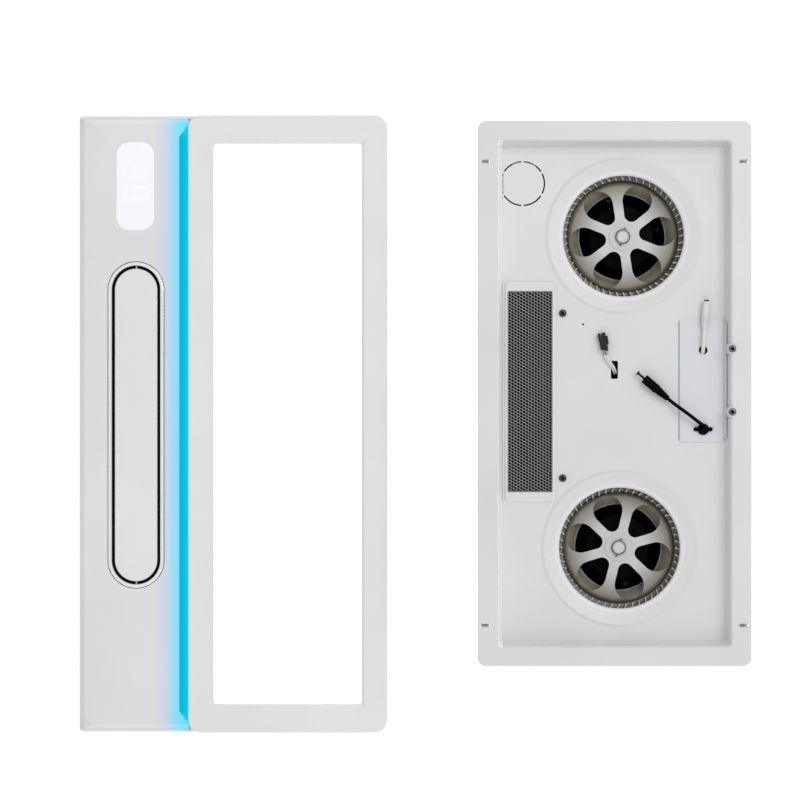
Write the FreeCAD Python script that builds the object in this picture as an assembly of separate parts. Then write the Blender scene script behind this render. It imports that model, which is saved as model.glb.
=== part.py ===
import FreeCAD, Part
import math
import os
from FreeCAD import Vector

# Ceiling ventilation unit, in millimetres. The housing lies on its back with the open room side up.
# The face panel lies beside it, face up on its four hooks, as taken off for fitting.
# Origin: centre of the housing's back. +X and +Y run along its width and length, +Z to the room side.

# Fits shared by many pieces
running_clearance = 0.05
seat_clearance = 0.3
thread_clearance = 0.05

# Housing tray and flange
housing_height = 140.0
flange_width = 260.0
flange_length = 518.0
flange_thickness = 2.5
flange_corner_r = 8.0
flange_edge_r = 1.2
flange_skirt_depth = 7.0
flange_skirt_wall = 2.0
tray_depth = 22.0
tray_wall = 2.5
tray_corner_r = 3.0
opening_width = 221.4
opening_length = 480.6
opening_bevel = 1.2
floor_width = 212.0
floor_length = 471.0
cut_corner_r = 1.5

# Bell-mouth inlets in the tray floor
inlet_r = 57.7
inlet_lip_r = 5.0
inlet_lip_depth = 9.0
dish_r = 73.0
dish_drop = 3.0
upper_fan_x = 9.7
upper_dish_margin = 12.0
lower_fan_x = 5.9
lower_dish_margin = 14.7

# Rear casing of folded sheet
casing_wall = 1.2
casing_clearance = 0.6
casing_lip = 6.0
casing_step_height = 110.0

# Mains cable gland
gland_y = 10.0
gland_z = 40.0
gland_r = 8.0
gland_length = 11.0
gland_cable_r = 4.0
gland_nut_r = 11.0

# Parts on the control board
relay_width = 12.0
relay_length = 16.0
relay_height = 15.0
relay_count = 4
capacitor_r = 8.5
capacitor_length = 28.0
lead_socket_size = 7.0
terminal_ways = 5
terminal_pitch = 8.0
terminal_width = 14.0
terminal_height = 13.0

# Impellers
impeller_overlap = 1.8
impeller_gap = 3.0
impeller_height = 68.0
blade_count = 52
blade_gap = 0.2
blade_ring_width = 6.0
blade_thickness = 1.0
blade_sweep_deg = 6.0
blade_bulge_deg = 1.4
impeller_band = 1.6
hub_plate_depth = 26.0
hub_plate_thickness = 1.6
hub_plate_edge_r = 5.0
hub_r = 13.0
hub_length = 16.0
hub_rise = 1.0
hub_cap_r = 6.5
hub_cap_height = 3.6
spoke_count = 6
spoke_hole_r = 14.0
spoke_hole_centre = 37.4
spoke_hole_inner_r = 7.0
spoke_hole_inner_centre = 23.0
upper_spoke_deg = 8.0
lower_spoke_deg = -14.0

# Motors
shaft_r = 3.0
motor_r = 33.0
motor_gap = 14.0
motor_boss_r = 10.0
motor_boss_height = 5.0
motor_edge_r = 5.0
motor_plate_r = 44.0
motor_plate_thickness = 1.5
motor_vent_r = 30.0
motor_screw_circle_r = 39.0
motor_screw_count = 4

# Scrolls
scroll_clearance = 6.5
scroll_growth = 8.0
scroll_wall = 2.0
scroll_standoff = 8.8
scroll_end_gap = 0.8
scroll_foot_r = 4.0
scroll_foot_spread = 40.0
tongue_deg = 58.0

# Exhaust collar and backdraft flaps
collar_r = 49.0
collar_wall = 2.5
collar_length = 38.0
collar_height = 56.0
collar_plate_margin = 3.0
collar_plate_thickness = 2.5
damper_gap = 0.8
damper_thickness = 1.2
damper_pin_r = 1.5
damper_sleeve_r = 2.6
damper_sleeve_count = 3
damper_end_gap = 16.0

# Warm-air grille, duct and heater
grille_width = 42.6
grille_length = 191.7
grille_thickness = 1.0
grille_edge = 4.8
grille_y = 1.8
grille_border = 2.2
grille_columns = 6
grille_rows = 30
grille_strand = 1.1
grille_pad_rise = 1.2
grille_pad_bevel = 0.8
grille_pad_corner_r = 6.0
grille_pad_wall_gap = 1.9
grille_pad_side = 4.6
grille_pad_end = 10.0
duct_wall = 2.0
duct_margin = 2.0
heater_frame_wall = 3.0
heater_frame_height = 23.0
heater_bar_count = 3
heater_bar_width = 4.0
heater_fin_pitch = 9.0
heater_fin_thickness = 0.6
ear_thickness = 3.0
ear_reach = 12.6
upper_ear_y = 76.6
lower_ear_y = -80.8
grille_screw_offset = 9.9

# Control box behind its cover
cover_width = 43.8
cover_low_y = -46.4
cover_high_y = 71.4
cover_thickness = 1.2
cover_corner_r = 4.0
cover_leg_height = 9.4
cover_leg_gap = 0.8
cover_screw_x_offset = 1.0
cover_screw_low_y = -17.5
cover_screw_high_y = 42.6
control_box_depth = 48.0
control_box_wall = 1.6
control_box_margin = 4.0
board_thickness = 1.6
board_standoff = 6.0
board_margin = 3.0

# Tray details
knockout_r = 20.9
knockout_edge_x = 19.0
knockout_edge_y = 35.1
knockout_line = 1.4
knockout_bridge = 2.4
knockout_bridge_count = 6
hook_slot_length = 9.5
hook_slot_width = 3.9
hook_slot_edge_x = 6.8
hook_slot_edge_y = 38.5
sensor_hole_r = 1.0
sensor_offset_x = 19.5
sensor_offset_y = 10.6
signal_slot_width = 6.7
signal_slot_length = 17.2
signal_slot_x = 0.7
signal_slot_y = 22.6
clip_thickness = 0.5
clip_depth = 12.0
clip_width = 8.0
clip_wing = 2.5

# Fasteners
side_screw_y = 150.0
side_screw_end_x = 80.0
screw_head_r = 3.6
screw_head_height = 2.2
screw_shank_r = 1.6
screw_length = 9.0
sheet_screw_length = 4.5
boss_size = 11.0
boss_height = 15.0
bracket_width = 18.0
bracket_reach = 13.0
bracket_height = 22.0
bracket_thickness = 1.6
bracket_drop = 14.0
bracket_y = 185.0
bracket_slot_r = 2.5
bracket_slot_length = 9.0

# Leads that lie in the tray, routes chosen along the photographed lines
dc_lead_r = 1.55
dc_grommet_x = 85.3
dc_grommet_y = -34.1
dc_grommet_r = 5.5
dc_grommet_rise = 5.0
dc_ear_length = 18.3
dc_ear_width = 3.9
dc_lead_route = [
    Vector(84.2, -33.2, 122.6),
    Vector(80.3, -29.8, 126.4),
    Vector(74.6, -24.9, 129.4),
    Vector(67.6, -18.9, 129.6),
    Vector(60.6, -12.9, 127.2),
    Vector(55.4, -8.4, 124.9),
    Vector(51.3, -4.9, 124.9),
]
dc_plug_length = 29.6
dc_plug_body_length = 16.0
dc_plug_r = 4.7
dc_relief_r = 2.7
dc_barrel_length = 8.8
dc_barrel_r = 1.1
dc_barrel_bore_r = 0.6
dc_tip_r = 2.1
dc_tip_length = 1.6
white_hole_x = 85.3
white_hole_y = 41.4
white_hole_r = 4.2
white_lead_r = 1.9
white_lead_route = [
    Vector(85.0, 40.5, 88.7),
    Vector(85.0, 40.5, 95.6),
    Vector(85.7, 41.3, 103.4),
    Vector(84.9, 40.3, 111.2),
    Vector(84.8, 41.0, 118.6),
    Vector(85.2, 44.6, 123.9),
    Vector(85.6, 51.0, 125.4),
    Vector(86.0, 57.0, 124.3),
    Vector(86.4, 62.4, 124.3),
]
white_connector_length = 25.5
white_connector_r = 3.5
white_connector_wall = 1.1
white_connector_bore_depth = 7.0
connector_rib_rise = 0.5
connector_rib_length = 1.0
connector_rib_pitch = 1.8
connector_rib_count = 3
signal_wire_r = 0.8
signal_wire_spread = 1.0
signal_lead_route = [
    Vector(2.0, 18.2, 108.6),
    Vector(1.5, 20.0, 115.6),
    Vector(-0.6, 25.0, 120.6),
    Vector(-4.6, 30.6, 122.4),
    Vector(-7.8, 36.2, 121.6),
    Vector(-8.4, 40.0, 121.6),
]
holder_length = 24.0
holder_width = 14.0
holder_height = 9.0
holder_wall = 1.6
signal_plug_length = 18.2
signal_plug_width = 9.3
signal_plug_height = 6.2
signal_latch_height = 1.2

# Face panel, measured from the panel's own centre
panel_x = -366.4
panel_y = -29.5
panel_width = 300.0
panel_length = 600.0
panel_corner_r = 12.0
panel_square_r = 3.0
hook_length = 16.0
hook_thickness = 1.6
hook_width = 8.0
hook_foot = 14.0
hook_neck_height = 6.0
hook_barb_height = 4.5
base_thickness = 2.0
base_rim_height = 8.0
base_rim_wall = 2.5
plate_top_z = 32.0
plate_skin = 2.5
plate_bevel = 5.6
plate_end_bevel = 5.0
plate_corner_r = 12.0
strip_width = 8.6
strip_drop = 3.0
strip_slant = 12.0
strip_end_gap = 8.5
frame_top_z = 42.0
side_width = 106.6
frame_skin = 3.0
frame_wall = 2.5
frame_edge_r = 2.5
frame_gap = 0.3
window_border = 25.0
window_end_border = 28.15
window_corner_r = 3.0
window_depth = 5.5
diffuser_thickness = 2.0
diffuser_overlap = 6.0
reflector_wall = 1.0
light_bar_count = 3
light_bar_width = 10.0
light_chip_count = 10
light_chip = 3.0
outlet_width = 54.0
outlet_length = 317.0
outlet_edge = 55.5
outlet_y = -1.0
trim_width = 3.25
trim_height = 1.2
throat_wall = 1.75
throat_depth = 6.0
throat_ledge = 5.25
throat_ledge_thickness = 1.5
flap_gap = 3.1
flap_thickness = 3.2
flap_pivot_drop = 8.0
flap_pin_r = 1.5
flap_lug_length = 5.0
flap_lug_width = 8.0
flap_motor_length = 24.0
flap_motor_width = 20.0
display_width = 37.0
display_length = 86.0
display_corner_r = 13.0
display_edge = 54.8
display_end_gap = 68.6
display_skin = 2.2
display_flange = 1.6
display_module_height = 4.0
socket_width = 11.0
socket_length = 14.0
socket_height = 9.0
socket_bore_r = 2.75
dc_socket_x = 40.0
signal_socket_x = 10.0
socket_y = 30.0

# Places worked out from the sizes above
flange_top = housing_height
flange_under = flange_top - flange_thickness
floor_top = flange_top - tray_depth
floor_under = floor_top - tray_wall
casing_corner_r = tray_corner_r + tray_wall + casing_clearance + casing_wall
casing_in_x = opening_width / 2 + tray_wall + casing_clearance
casing_in_y = opening_length / 2 + tray_wall + casing_clearance
casing_out_x = casing_in_x + casing_wall
casing_out_y = casing_in_y + casing_wall
upper_fan_y = floor_length / 2 - dish_r - upper_dish_margin
lower_fan_y = -floor_length / 2 + dish_r + lower_dish_margin
impeller_r = inlet_r + impeller_overlap
cup_r = impeller_r - blade_ring_width
impeller_top = floor_top - inlet_lip_depth - impeller_gap
impeller_bottom = impeller_top - impeller_height
hub_plate_top = floor_top - hub_plate_depth
scroll_back = casing_wall + scroll_standoff
scroll_floor = scroll_back + scroll_wall
scroll_top_r = impeller_r + scroll_clearance
scroll_r = [scroll_top_r - scroll_growth / 2 + scroll_growth * turn for turn in range(4)]
scroll_end = scroll_top_r + scroll_wall + scroll_end_gap
deep_in_y = upper_fan_y + scroll_end
deep_out_y = deep_in_y + casing_wall
collar_x = casing_out_x - collar_r - collar_plate_margin
collar_in_r = collar_r - collar_wall
collar_end_y = deep_out_y + collar_length
damper_y = collar_end_y - damper_end_gap
damper_offset = damper_sleeve_r + seat_clearance + damper_thickness / 2
grille_x = -floor_width / 2 + grille_edge + grille_width / 2
grille_low_x = grille_x - grille_width / 2
grille_high_x = grille_x + grille_width / 2
grille_low_y = grille_y - grille_length / 2
grille_high_y = grille_y + grille_length / 2
tongue_x = scroll_r[0] * math.cos(math.radians(tongue_deg)) - scroll_growth / 2
tongue_y = scroll_r[0] * math.sin(math.radians(tongue_deg)) + scroll_growth / 2
duct_low_x = grille_low_x - duct_margin
duct_high_x = grille_high_x + duct_margin
duct_low_y = lower_fan_y + tongue_y + scroll_wall
duct_high_y = grille_high_y + duct_margin
cover_high_x = floor_width / 2
cover_low_x = cover_high_x - cover_width
cover_screw_x = opening_width / 2 + cover_screw_x_offset
hook_x = flange_width / 2 - hook_slot_edge_x
hook_y = flange_length / 2 - hook_slot_edge_y
base_back = hook_length
base_floor = base_back + base_thickness
base_rim_top = base_back + base_rim_height
frame_width = panel_width - side_width
frame_low_x = panel_width / 2 - frame_width
window_width = frame_width - 2 * window_border
window_length = panel_length - 2 * window_end_border
outlet_x = -panel_width / 2 + outlet_edge
display_x = -panel_width / 2 + display_edge
display_y = panel_length / 2 - display_end_gap
strip_high_x = frame_low_x - frame_gap
strip_low_x = strip_high_x - strip_width
window_x = frame_low_x + frame_width / 2
diffuser_top = frame_top_z - window_depth
diffuser_under = diffuser_top - diffuser_thickness
throat_in_w = outlet_width - 2 * trim_width
throat_in_l = outlet_length - 2 * trim_width
throat_out_w = throat_in_w + 2 * throat_wall
throat_out_l = throat_in_l + 2 * throat_wall
flap_w = throat_in_w - 2 * flap_gap
flap_l = throat_in_l - 2 * flap_gap
flap_axis_z = plate_top_z - flap_pivot_drop
plate_under = plate_top_z - plate_skin


# Shape helpers

def box(x0, y0, z0, x1, y1, z1):
    return Part.makeBox(x1 - x0, y1 - y0, z1 - z0, Vector(x0, y0, z0))


def post(r, z0, z1, x, y):
    return Part.makeCylinder(r, z1 - z0, Vector(x, y, z0))


def rod(r, start, end):
    run = end - start
    return Part.makeCylinder(r, run.Length, start, run)


def polar(r, deg, cx=0.0, cy=0.0, z=0.0):
    turn = math.radians(deg)
    return Vector(cx + r * math.cos(turn), cy + r * math.sin(turn), z)


def line(start, end):
    return Part.LineSegment(start, end).toShape()


def arc(cx, cy, r, start_deg, end_deg, z=0.0):
    middle = (start_deg + end_deg) / 2
    points = [polar(r, deg, cx, cy, z) for deg in (start_deg, middle, end_deg)]
    return Part.Arc(*points).toShape()


def rounded_rect(x0, y0, x1, y1, r, z=0.0, left_r=None):
    """Closed outline with a quarter circle at each corner, the left ones of their own size if given."""
    left = r if left_r is None else left_r
    corners = [(x1 - r, y1 - r, r), (x0 + left, y1 - left, left), (x0 + left, y0 + left, left),
               (x1 - r, y0 + r, r)]
    edges = []
    for side, (cx, cy, corner_r) in enumerate(corners):
        next_x, next_y, next_r = corners[(side + 1) % 4]
        edges.append(arc(cx, cy, corner_r, 90 * side, 90 * side + 90, z))
        start = polar(corner_r, 90 * side + 90, cx, cy, z)
        end = polar(next_r, 90 * side + 90, next_x, next_y, z)
        if start.distanceToPoint(end) > 1e-6:
            edges.append(line(start, end))
    return Part.Wire(edges)


def centred_rect(width, length, r, z=0.0, x=0.0, y=0.0):
    return rounded_rect(x - width / 2, y - length / 2, x + width / 2, y + length / 2, r, z)


def stadium(width, length, z=0.0, x=0.0, y=0.0):
    """Oblong outline with round ends."""
    return centred_rect(width, length, width / 2, z, x, y)


def polygon(points):
    return Part.makePolygon(points + points[:1])


def prism(wire, z0, z1):
    solid = Part.Face(wire).extrude(Vector(0, 0, z1 - z0))
    solid.translate(Vector(0, 0, z0))
    return solid


def loft(low_wire, high_wire):
    return Part.makeLoft([low_wire, high_wire], True, True)


def spun(edges, x=0.0, y=0.0):
    """Solid turned from a closed outline in radius and height."""
    solid = Part.Face(Part.Wire(edges)).revolve(Vector(0, 0, 0), Vector(0, 0, 1), 360)
    solid.translate(Vector(x, y, 0))
    return solid


def rz_line(r0, z0, r1, z1):
    return line(Vector(r0, 0, z0), Vector(r1, 0, z1))


def rz_arc(cr, cz, r, start_deg, end_deg):
    points = []
    for deg in (start_deg, (start_deg + end_deg) / 2, end_deg):
        turn = math.radians(deg)
        points.append(Vector(cr + r * math.cos(turn), 0, cz + r * math.sin(turn)))
    return Part.Arc(*points).toShape()


def aimed(shape, place, direction):
    """Copy of a shape made along +Z, turned to a direction and set at a place."""
    copy = shape.copy()
    copy.Placement = FreeCAD.Placement(place, FreeCAD.Rotation(Vector(0, 0, 1), direction))
    return copy


def screw(place, direction, head_r=screw_head_r, head_height=screw_head_height,
          shank_r=screw_shank_r, length=screw_length):
    """Domed screw whose head stands on a face and looks along the direction."""
    edges = [
        rz_line(0, -length, shank_r, -length),
        rz_line(shank_r, -length, shank_r, 0),
        rz_line(shank_r, 0, head_r, 0),
        rz_line(head_r, 0, head_r, head_height * 0.4),
        rz_line(head_r, head_height * 0.4, head_r * 0.6, head_height),
        rz_line(head_r * 0.6, head_height, 0, head_height),
        rz_line(0, head_height, 0, -length),
    ]
    return aimed(spun(edges), place, direction)


def screw_hole(place, direction, r, length=screw_length):
    return rod(r, place, place - direction * (length + seat_clearance))


def tube(route, r, name):
    """Round lead along straight runs joined by tangent arcs as large as the runs allow."""
    edges = []
    radii = []
    start = route[0]
    for before, corner, after in zip(route, route[1:], route[2:]):
        back = before - corner
        ahead = after - corner
        reach = 0.45 * min(back.Length, ahead.Length)
        half_turn = (math.pi - back.getAngle(ahead)) / 2
        radius = reach / math.tan(half_turn)
        radii.append(round(radius, 1))
        back.normalize()
        ahead.normalize()
        inward = back + ahead
        inward.normalize()
        enter = corner + back * reach
        leave = corner + ahead * reach
        middle = corner + inward * (radius / math.cos(half_turn) - radius)
        edges.append(line(start, enter))
        edges.append(Part.Arc(enter, middle, leave).toShape())
        start = leave
    edges.append(line(start, route[-1]))
    path = Part.Wire(edges)
    section = Part.Wire(Part.makeCircle(r, route[0], route[1] - route[0]))
    solid = path.makePipeShell([section], True, False)
    share = solid.Volume / (math.pi * r * r * path.Length)
    print(name, "length", round(path.Length, 1), "radii", radii, "volume share", round(share, 4))
    return solid


def fused(shapes):
    return shapes[0].multiFuse(shapes[1:]).removeSplitter()


# Housing pieces

def inlet_dish(x, y):
    """Shallow dish that rolls into the round inlet, with its own skin thickness."""
    shoulder_r = inlet_r + inlet_lip_r
    shoulder_z = floor_top - dish_drop
    lip_z = floor_top - inlet_lip_depth
    turn_z = shoulder_z - inlet_lip_r
    back_r = inlet_lip_r - tray_wall
    edges = [
        rz_line(dish_r, floor_top, shoulder_r, shoulder_z),
        rz_arc(shoulder_r, turn_z, inlet_lip_r, 90, 180),
        rz_line(inlet_r, turn_z, inlet_r, lip_z),
        rz_line(inlet_r, lip_z, inlet_r + tray_wall, lip_z),
        rz_line(inlet_r + tray_wall, lip_z, inlet_r + tray_wall, turn_z),
        rz_arc(shoulder_r, turn_z, back_r, 180, 90),
        rz_line(shoulder_r, turn_z + back_r, dish_r, floor_under),
        rz_line(dish_r, floor_under, dish_r, floor_top),
    ]
    return spun(edges, x, y)


def side_screws():
    """Places and outward directions of the screws through the casing walls into the tray."""
    height = floor_under - boss_height / 2
    places = []
    for side in (-1, 1):
        for end in (-1, 1):
            places.append((Vector(side * casing_out_x, end * side_screw_y, height), Vector(side, 0, 0)))
    below_step = casing_step_height - 2 * screw_head_r
    places.append((Vector(-side_screw_end_x, deep_out_y, min(height, below_step)), Vector(0, 1, 0)))
    places.append((Vector(side_screw_end_x, -casing_out_y, height), Vector(0, -1, 0)))
    return places


def tray_boss(place, direction):
    """Square boss under the tray floor, just inside a casing wall."""
    face = place - direction * (casing_wall + seat_clearance)
    back = face - direction * boss_size
    across = Vector(direction.y, direction.x, 0) * (boss_size / 2)
    xs = [face.x + across.x, face.x - across.x, back.x + across.x, back.x - across.x]
    ys = [face.y + across.y, face.y - across.y, back.y + across.y, back.y - across.y]
    return box(min(xs), min(ys), floor_under - boss_height, max(xs), max(ys), floor_under + tray_wall / 2)


def hook_places():
    return [(side * hook_x, end * hook_y) for side in (-1, 1) for end in (-1, 1)]


def ear_places():
    return [(grille_high_x + grille_screw_offset, y) for y in (upper_ear_y, lower_ear_y)]


def cover_screw_places():
    return [(cover_screw_x, y) for y in (cover_screw_low_y, cover_screw_high_y)]


def knockout_lines():
    """Ring of slits left as a push-out disc, held by narrow bridges."""
    x = -floor_width / 2 + knockout_edge_x
    y = floor_length / 2 - knockout_edge_y
    low = floor_under - 1
    high = floor_top + 1
    ring = post(knockout_r + knockout_line / 2, low, high, x, y)
    ring = ring.cut(post(knockout_r - knockout_line / 2, low, high, x, y))
    reach = knockout_r + knockout_line
    for bridge in range(knockout_bridge_count):
        bar = box(0, -knockout_bridge / 2, low - 1, reach, knockout_bridge / 2, high + 1)
        bar.rotate(Vector(0, 0, 0), Vector(0, 0, 1), 30 + 360 / knockout_bridge_count * bridge)
        bar.translate(Vector(x, y, 0))
        ring = ring.cut(bar)
    return ring


def grille_pad():
    """Low pad of the floor round the warm-air mesh, with sloping edges."""
    low_x = -floor_width / 2 + grille_pad_wall_gap
    high_x = grille_high_x + grille_pad_side
    low_y = grille_low_y - grille_pad_end
    high_y = grille_high_y + grille_pad_end
    foot = rounded_rect(low_x, low_y, high_x, high_y, grille_pad_corner_r, floor_top)
    inset = grille_pad_bevel
    crown = rounded_rect(low_x + inset, low_y + inset, high_x - inset, high_y - inset,
                         grille_pad_corner_r - inset, floor_top + grille_pad_rise)
    return loft(foot, crown)


def tray():
    """Moulded white tray with drafted walls, flange, inlets and all its openings."""
    flange = prism(centred_rect(flange_width, flange_length, flange_corner_r), flange_under, flange_top)
    rim = [edge for edge in flange.Edges if edge.BoundBox.ZMin > flange_top - 0.01]
    flange = flange.makeFillet(flange_edge_r, rim)
    skirt_low = flange_top - flange_skirt_depth
    skirt = prism(centred_rect(flange_width, flange_length, flange_corner_r), skirt_low, flange_under)
    skirt_in = centred_rect(flange_width - 2 * flange_skirt_wall, flange_length - 2 * flange_skirt_wall,
                            flange_corner_r - flange_skirt_wall)
    skirt = skirt.cut(prism(skirt_in, skirt_low - 1, flange_under + 1))
    outer_r = tray_corner_r + tray_wall
    basin = loft(centred_rect(floor_width + 2 * tray_wall, floor_length + 2 * tray_wall, outer_r,
                              floor_under),
                 centred_rect(opening_width + 2 * tray_wall, opening_length + 2 * tray_wall, outer_r,
                              flange_under))
    hollow = loft(centred_rect(floor_width, floor_length, tray_corner_r, floor_top),
                  centred_rect(opening_width, opening_length, tray_corner_r, flange_top))
    mouth = loft(centred_rect(opening_width, opening_length, tray_corner_r, flange_top - opening_bevel),
                 centred_rect(opening_width + 2 * opening_bevel, opening_length + 2 * opening_bevel,
                              tray_corner_r + opening_bevel, flange_top))
    bosses = [tray_boss(place, direction) for place, direction in side_screws()]
    wall_high = opening_width / 2 + tray_wall
    for x, y in cover_screw_places():
        low_z = flange_under - screw_length
        bosses.append(box(x - boss_size / 4, y - boss_size / 4, low_z, wall_high, y + boss_size / 4,
                          flange_under))
    solid = fused([flange, skirt, basin] + bosses).cut(hollow.fuse(mouth))
    fans = [(upper_fan_x, upper_fan_y), (lower_fan_x, lower_fan_y)]
    for x, y in fans:
        solid = solid.cut(post(dish_r, floor_under - 1, floor_top + 1, x, y))
    solid = fused([solid, grille_pad()] + [inlet_dish(x, y) for x, y in fans])
    cuts = [
        prism(centred_rect(grille_width + seat_clearance, grille_length + seat_clearance, cut_corner_r,
                           x=grille_x, y=grille_y), floor_under - 1, floor_top + grille_pad_rise + 1),
        prism(centred_rect(signal_slot_width, signal_slot_length, cut_corner_r, x=signal_slot_x,
                           y=signal_slot_y), floor_under - 1, floor_top + 1),
        prism(rounded_rect(cover_low_x + control_box_margin, cover_low_y + control_box_margin,
                           cover_high_x - control_box_margin, cover_high_y - control_box_margin,
                           cover_corner_r), floor_under - 1, floor_top + 1),
        post(sensor_hole_r, floor_under - 1, floor_top + 1, ear_places()[0][0] + sensor_offset_x,
             upper_ear_y - sensor_offset_y),
        knockout_lines(),
    ]
    for x, y in hook_places():
        cuts.append(prism(centred_rect(hook_slot_length, hook_slot_width, 1.0, x=x, y=y),
                          flange_under - 1, flange_top + 1))
    for place, direction in side_screws():
        cuts.append(screw_hole(place, direction, screw_shank_r + thread_clearance))
    for x, y in ear_places():
        cuts.append(post(screw_shank_r + thread_clearance, floor_under - 1, floor_top + 1, x, y))
    for x, y in cover_screw_places():
        cuts.append(post(screw_shank_r + thread_clearance, flange_top - screw_length - seat_clearance,
                         flange_top + 1, x, y))
    return solid.cut(Part.makeCompound(cuts))


def casing_body(inset, floor_z, top_z):
    """Deep box for the blowers with a longer shallow rim above the collar."""
    r = casing_corner_r - inset
    half_x = casing_out_x - inset
    low_y = -casing_out_y + inset
    deep = prism(rounded_rect(-half_x, low_y, half_x, deep_out_y - inset, r), floor_z, top_z)
    rim = prism(rounded_rect(-half_x, low_y, half_x, casing_out_y - inset, r),
                casing_step_height + inset, top_z)
    return deep.fuse(rim)


def rear_casing():
    """Folded casing with an outward lip under the flange and holes for the collar and gland."""
    lip_low = flange_under - casing_wall
    lip = prism(centred_rect(2 * (casing_out_x + casing_lip), 2 * (casing_out_y + casing_lip),
                             casing_corner_r + casing_lip), lip_low, flange_under)
    for x, y in hook_places():
        reach = hook_slot_length / 2 + hook_slot_width
        lip = lip.cut(box(x - reach, y - reach, lip_low - 1, x + reach, y + reach, flange_under + 1))
    solid = fused([casing_body(0, 0, flange_under), lip])
    solid = solid.cut(casing_body(casing_wall, casing_wall, flange_under + 1))
    collar_hole = rod(collar_in_r, Vector(collar_x, deep_in_y - 1, collar_height),
                      Vector(collar_x, deep_out_y + 1, collar_height))
    cuts = [collar_hole, gland_bore()]
    for place, direction in side_screws():
        cuts.append(screw_hole(place + direction, direction, screw_shank_r + seat_clearance,
                               casing_wall * 2))
    for place in collar_screw_places() + bracket_screw_places():
        cuts.append(screw_hole(place[0] + place[1], place[1], screw_shank_r + thread_clearance,
                               screw_length))
    return solid.cut(Part.makeCompound(cuts))


def gland_bore():
    return rod(gland_r, Vector(casing_in_x - 1, gland_y, gland_z),
               Vector(casing_out_x + 1, gland_y, gland_z))


def cable_gland():
    """Mains cable inlet through the right wall: stem, outer nut and inner nut."""
    axis = Vector(1, 0, 0)
    centre = Vector(casing_out_x, gland_y, gland_z)
    inner = Vector(casing_in_x, gland_y, gland_z)
    hexagon = [polar(gland_nut_r, 60 * corner) for corner in range(6)]
    nut = aimed(prism(polygon(hexagon), 0, gland_length * 0.55), centre, axis)
    stem = rod(gland_r - running_clearance, inner - axis * 6, centre + axis * gland_length)
    lock = aimed(prism(polygon(hexagon), 0, 4), inner - axis * 4, axis)
    bore = rod(gland_cable_r, inner - axis * 7, centre + axis * (gland_length + 1))
    return fused([stem, nut, lock]).cut(bore)


def scroll_point(fan, side, u, v):
    return Vector(fan[0] + side * u, fan[1] + v, 0)


def scroll_outline(fan, side, extra, end):
    """Four-centre volute outline with a straight outlet along +Y on the given side."""
    half = scroll_growth / 2
    centres = [(-half, half), (-half, -half), (half, -half), (half, half)]
    line_u = tongue_x - extra
    first_r = scroll_r[0] + extra
    first_v = half + math.sqrt(first_r ** 2 - (line_u + half) ** 2)
    start_deg = math.degrees(math.atan2(first_v - half, line_u + half))
    spans = [(start_deg, 90), (90, 180), (180, 270), (270, 360)]
    edges = []
    for (cu, cv), r, (from_deg, to_deg) in zip(centres, scroll_r, spans):
        points = []
        for deg in (from_deg, (from_deg + to_deg) / 2, to_deg):
            spot = polar(r + extra, deg, cu, cv)
            points.append(scroll_point(fan, side, spot.x, spot.y))
        edges.append(Part.Arc(*points).toShape())
    outer_u = half + scroll_r[3] + extra
    corners = [(outer_u, half), (outer_u, end), (line_u, end), (line_u, first_v)]
    for (u0, v0), (u1, v1) in zip(corners, corners[1:]):
        edges.append(line(scroll_point(fan, side, u0, v0), scroll_point(fan, side, u1, v1)))
    return Part.Wire(edges)


def dish_room(fan):
    """Space that an inlet's dish and lip take below the tray floor."""
    shoulder_r = inlet_r + inlet_lip_r
    shoulder_z = floor_under - dish_drop - seat_clearance
    dish = Part.makeCone(shoulder_r, dish_r + seat_clearance, floor_under - shoulder_z,
                         Vector(fan[0], fan[1], shoulder_z))
    lip = post(shoulder_r, floor_top - inlet_lip_depth - 1, floor_top, fan[0], fan[1])
    return [dish, lip]


def scroll(fan, side, end):
    """Open-topped volute on feet, with its back wall pierced for the motor."""
    outer = prism(scroll_outline(fan, side, scroll_wall, end), scroll_back, floor_under)
    inner = prism(scroll_outline(fan, side, 0, end + 1), scroll_floor, floor_under + 1)
    solid = outer.cut(inner)
    feet = []
    for du in (-scroll_foot_spread, scroll_foot_spread):
        for dv in (-scroll_foot_spread, scroll_foot_spread):
            feet.append(post(scroll_foot_r, casing_wall, scroll_floor, fan[0] + du, fan[1] + dv))
    solid = fused([solid] + feet)
    cuts = dish_room(fan) + [post(motor_vent_r, scroll_back - 1, scroll_floor + 1, fan[0], fan[1])]
    for place, direction in motor_screw_places(fan):
        cuts.append(screw_hole(place, direction, screw_shank_r + thread_clearance))
    return solid.cut(Part.makeCompound(cuts))


def motor_screw_places(fan):
    spread = 360 / motor_screw_count
    height = scroll_floor + motor_plate_thickness
    return [(polar(motor_screw_circle_r, spread * turn + 15, fan[0], fan[1], height), Vector(0, 0, 1))
            for turn in range(motor_screw_count)]


def motor_plate(fan):
    """Round steel plate that closes the motor opening in the scroll's back."""
    solid = post(motor_plate_r, scroll_floor, scroll_floor + motor_plate_thickness, fan[0], fan[1])
    holes = [screw_hole(place + direction, direction, screw_shank_r + thread_clearance)
             for place, direction in motor_screw_places(fan)]
    return solid.cut(Part.makeCompound(holes))


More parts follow.
